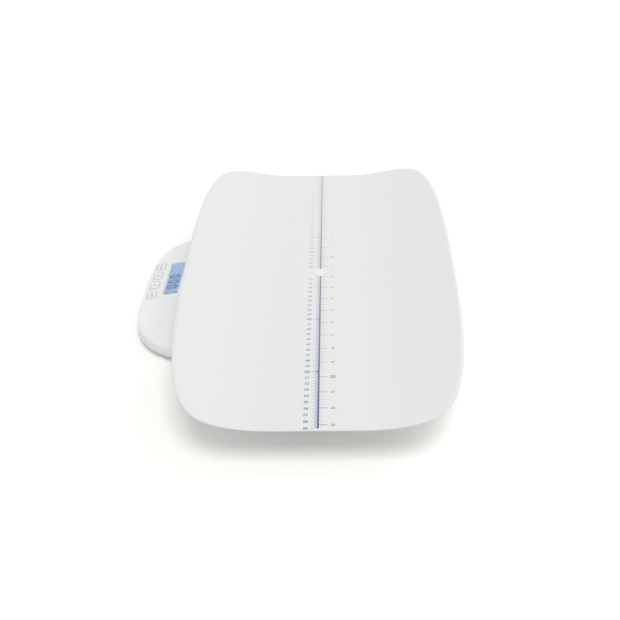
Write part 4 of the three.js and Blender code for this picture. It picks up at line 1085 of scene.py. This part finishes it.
def masked_board(name):
    """Solder mask with faint tracks under it, from a wavy band pattern with a sharp step."""
    material, tree = new_material(name, (0.02, 0.13, 0.05), 0.35)
    wave = add_node(tree, "TexWave", TRACK_WAVES, {"Vector": object_place(tree)}, wave_type="BANDS")
    track = ranged(tree, wave.outputs["Fac"], 0, 1, *TRACK_STEP)
    feed(tree, blend(tree, track, (0.018, 0.11, 0.045), (0.05, 0.2, 0.08)), "Base Color")
    return material


dress("main_board", masked_board("board_green"))
SWITCH_BLACK = moulded("switch_black", (0.025, 0.026, 0.03), (0.04, 0.041, 0.045), 0.45)
for name in KEY_NAMES:
    dress(f"{name}_switch", SWITCH_BLACK)
    dress(f"{name}_plunger", SWITCH_BLACK)
dress("lead_connector", moulded("connector_white", (0.72, 0.7, 0.62), (0.68, 0.66, 0.58), 0.4))


# Feet and pads. Four round white feet sit in recesses in the corners under the
# load cells, each with a ringed grey rubber pad pressed into it. Four plain
# discs of the same rubber lie on the base's seats and carry the tray.
RUBBER_GREY = moulded("rubber_grey", (0.23, 0.24, 0.245), (0.19, 0.2, 0.205), 0.75, 600, 0.08 * MM)
FOOT_CORNERS = ("left_front", "left_back", "right_front", "right_back")
FOOT_SIDE = np.array([(-1.6, 0), (-0.6, 0.3), (-0.1, 1.2), (0, 2), (-0.3, 2.9)]) * MM
FOOT_NECK_RADIUS = 15 * MM
FOOT_NECK_RISE = 4.2 * MM
PAD_SIDE = np.array([(-5, 0), (-4.6, 0.3), (-4.2, 0.3), (-3.8, 0), (-1, 0), (-0.3, 0.3), (0, 1)]) * MM

for corner in FOOT_CORNERS:
    x, y, radius, low, high = round_place(f"foot_{corner}")
    foot = turned(f"foot_disc_{corner}", [
        (0, low), *(FOOT_SIDE + [radius, low]), (FOOT_NECK_RADIUS, low + FOOT_NECK_RISE),
        (FOOT_NECK_RADIUS, high), (0, high)], x, y)
    foot.data.materials.append(UNDER_PLASTIC)
    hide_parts(f"foot_{corner}")
    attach(foot, "base")
    _, _, radius, low, high = round_place(f"foot_pad_{corner}")
    pad = turned(f"rubber_disc_{corner}", [
        (0, low), *(PAD_SIDE + [radius, low]), (radius, high), (0, high)], x, y)
    pad.data.materials.append(RUBBER_GREY)
    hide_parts(f"foot_pad_{corner}")
    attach(pad, "base")
for number in range(1, 5):
    x, y, radius, low, high = round_place(f"tray_seat_pad_{number}")
    pad = turned(f"seat_disc_{number}", [
        (0, low), (radius, low), (radius, high - EDGE), (radius - EDGE, high), (0, high)], x, y, 64)
    pad.data.materials.append(RUBBER_GREY)
    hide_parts(f"tray_seat_pad_{number}")
    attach(pad, "base")


# Load cells and battery contacts. Stamped steel and nickel-plated strips in the
# CAD's shapes, brushed along their length.
SCRATCHES = (60, 4000, 4000)  # to a metre, along X, Y and Z
SMOOTHER, ROUGHER = 0.1, 0.12  # how far the scratches change the roughness


def brushed(name, colour, roughness):
    """Metal with fine straight scratches, from a noise stretched along X."""
    material, tree = new_material(name, colour, roughness, {"Metallic": 1})
    stretch = add_node(tree, "Mapping", {"Scale": SCRATCHES}, {"Vector": object_place(tree)})
    scratch = noise(tree, stretch.outputs["Vector"], 1)
    feed(tree, ranged(tree, scratch, roughness - SMOOTHER, roughness + ROUGHER), "Roughness")
    return material


CELL_STEEL = brushed("cell_steel", (0.56, 0.57, 0.58), 0.36)
for corner in FOOT_CORNERS:
    dress(f"load_cell_{corner}", CELL_STEEL)
CONTACT_NICKEL = brushed("contact_nickel", (0.66, 0.65, 0.62), 0.25)
dress("battery_contact_left", CONTACT_NICKEL)
dress("battery_contact_right", CONTACT_NICKEL)


# Screws. Zinc plated, with a rounded head and a cross recess sunk into it: the
# depth at each point of the head falls off across the cross's two arms.
SCREW_ZINC = brushed("screw_zinc", (0.62, 0.62, 0.60), 0.3)
SCREW_AROUND = 64
THREAD_PITCH = 0.9 * MM
THREAD_ROOT = 0.84  # its radius as a share of the shank's
TIP_SHARE = 0.45  # the tip's radius as a share of the shank's
TIP_LENGTH = 2 * MM
SCREW_HEAD_HEIGHT = 0.72  # as a share of the head's radius
SCREW_HEAD_FLAT = 0.65  # the head's flat top, as a share of its radius
CROSS_ARM = 0.32
CROSS_SOFTNESS = 0.05
CROSS_REACH = 0.62
CROSS_DEPTH = 0.7
SMALL_SHANK = 1.4 * MM
HUB_SHANK = 2 * MM


def screw(name, node, body, head_down, shank_radius):
    """A screw in a CAD screw's place, as rings from its tip to the middle of its head.

    The shank's rings go in and out by turns for the thread. The head's shoulder
    is a quarter sine, and its flat top sinks where the cross's arms lie.
    """
    x, y, head_radius, low, high = round_place(node)
    head_height = SCREW_HEAD_HEIGHT * head_radius
    sign, tip, top = (-1, high, low) if head_down else (1, low, high)
    seat = top - sign * head_height
    length = abs(tip - seat)
    angle = np.arange(SCREW_AROUND) / SCREW_AROUND * 2 * np.pi
    circle = np.stack([np.cos(angle), np.sin(angle)], -1)

    def ring(radius, z):
        return raised(radius * circle, z)

    rows = [ring(0, tip)]
    turns = int(length / THREAD_PITCH)
    for i in range(turns * 2 + 1):
        share = i / (turns * 2)
        taper = min(1, TIP_SHARE + share * length / TIP_LENGTH)
        radius = shank_radius * taper * (1 if i % 2 else THREAD_ROOT)
        rows.append(ring(radius, seat - sign * length * (1 - share)))
    rows.append(ring(head_radius, seat))
    for share in np.linspace(0, 1, 6):
        radius = head_radius * (1 - (1 - SCREW_HEAD_FLAT) * share)
        rows.append(ring(radius, seat + sign * head_height * math.sin(share * np.pi / 2)))
    for share in np.linspace(SCREW_HEAD_FLAT, 0, 12)[1:]:
        across, along = np.abs(share * circle.T)
        arm = np.maximum(
            np.clip((CROSS_ARM / 2 - across) / CROSS_SOFTNESS, 0, 1) * (along < CROSS_REACH),
            np.clip((CROSS_ARM / 2 - along) / CROSS_SOFTNESS, 0, 1) * (across < CROSS_REACH))
        rows.append(ring(share * head_radius, seat + sign * head_height * (1 - CROSS_DEPTH * arm)))
    thing = add_surface(name, np.array(rows) + [x, y, 0])
    thing.data.materials.append(SCREW_ZINC)
    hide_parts(node)
    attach(thing, body)


for node in screw_nodes:
    screw(f"{node}_zinc", node, "base", True, SMALL_SHANK)
for number in (1, 2):
    screw(f"board_screw_{number}_zinc", f"board_screw_{number}", "base", False, SMALL_SHANK)
screw("hub_screw_zinc", "tray_hub_screw", "tray", False, HUB_SHANK)


# Batteries. Four AA cells in plain dark sleeves, side by side in their box and
# held by the springy contacts at its two ends.
BATTERY_SLEEVE = moulded("battery_sleeve", (0.05, 0.065, 0.09), (0.06, 0.075, 0.1), 0.3)
for number in range(1, 5):
    dress(f"battery_{number}", BATTERY_SLEEVE)


# Leads. Thin grey vinyl wires, soldered to the load cells and the battery
# contacts and led to the connector on the board.
LEAD_GREY = moulded("lead_grey", (0.28, 0.29, 0.3), (0.24, 0.25, 0.26), 0.5)
for node in ("battery_lead", *[f"load_cell_lead_{number}" for number in range(1, 5)]):
    dress(node, LEAD_GREY)
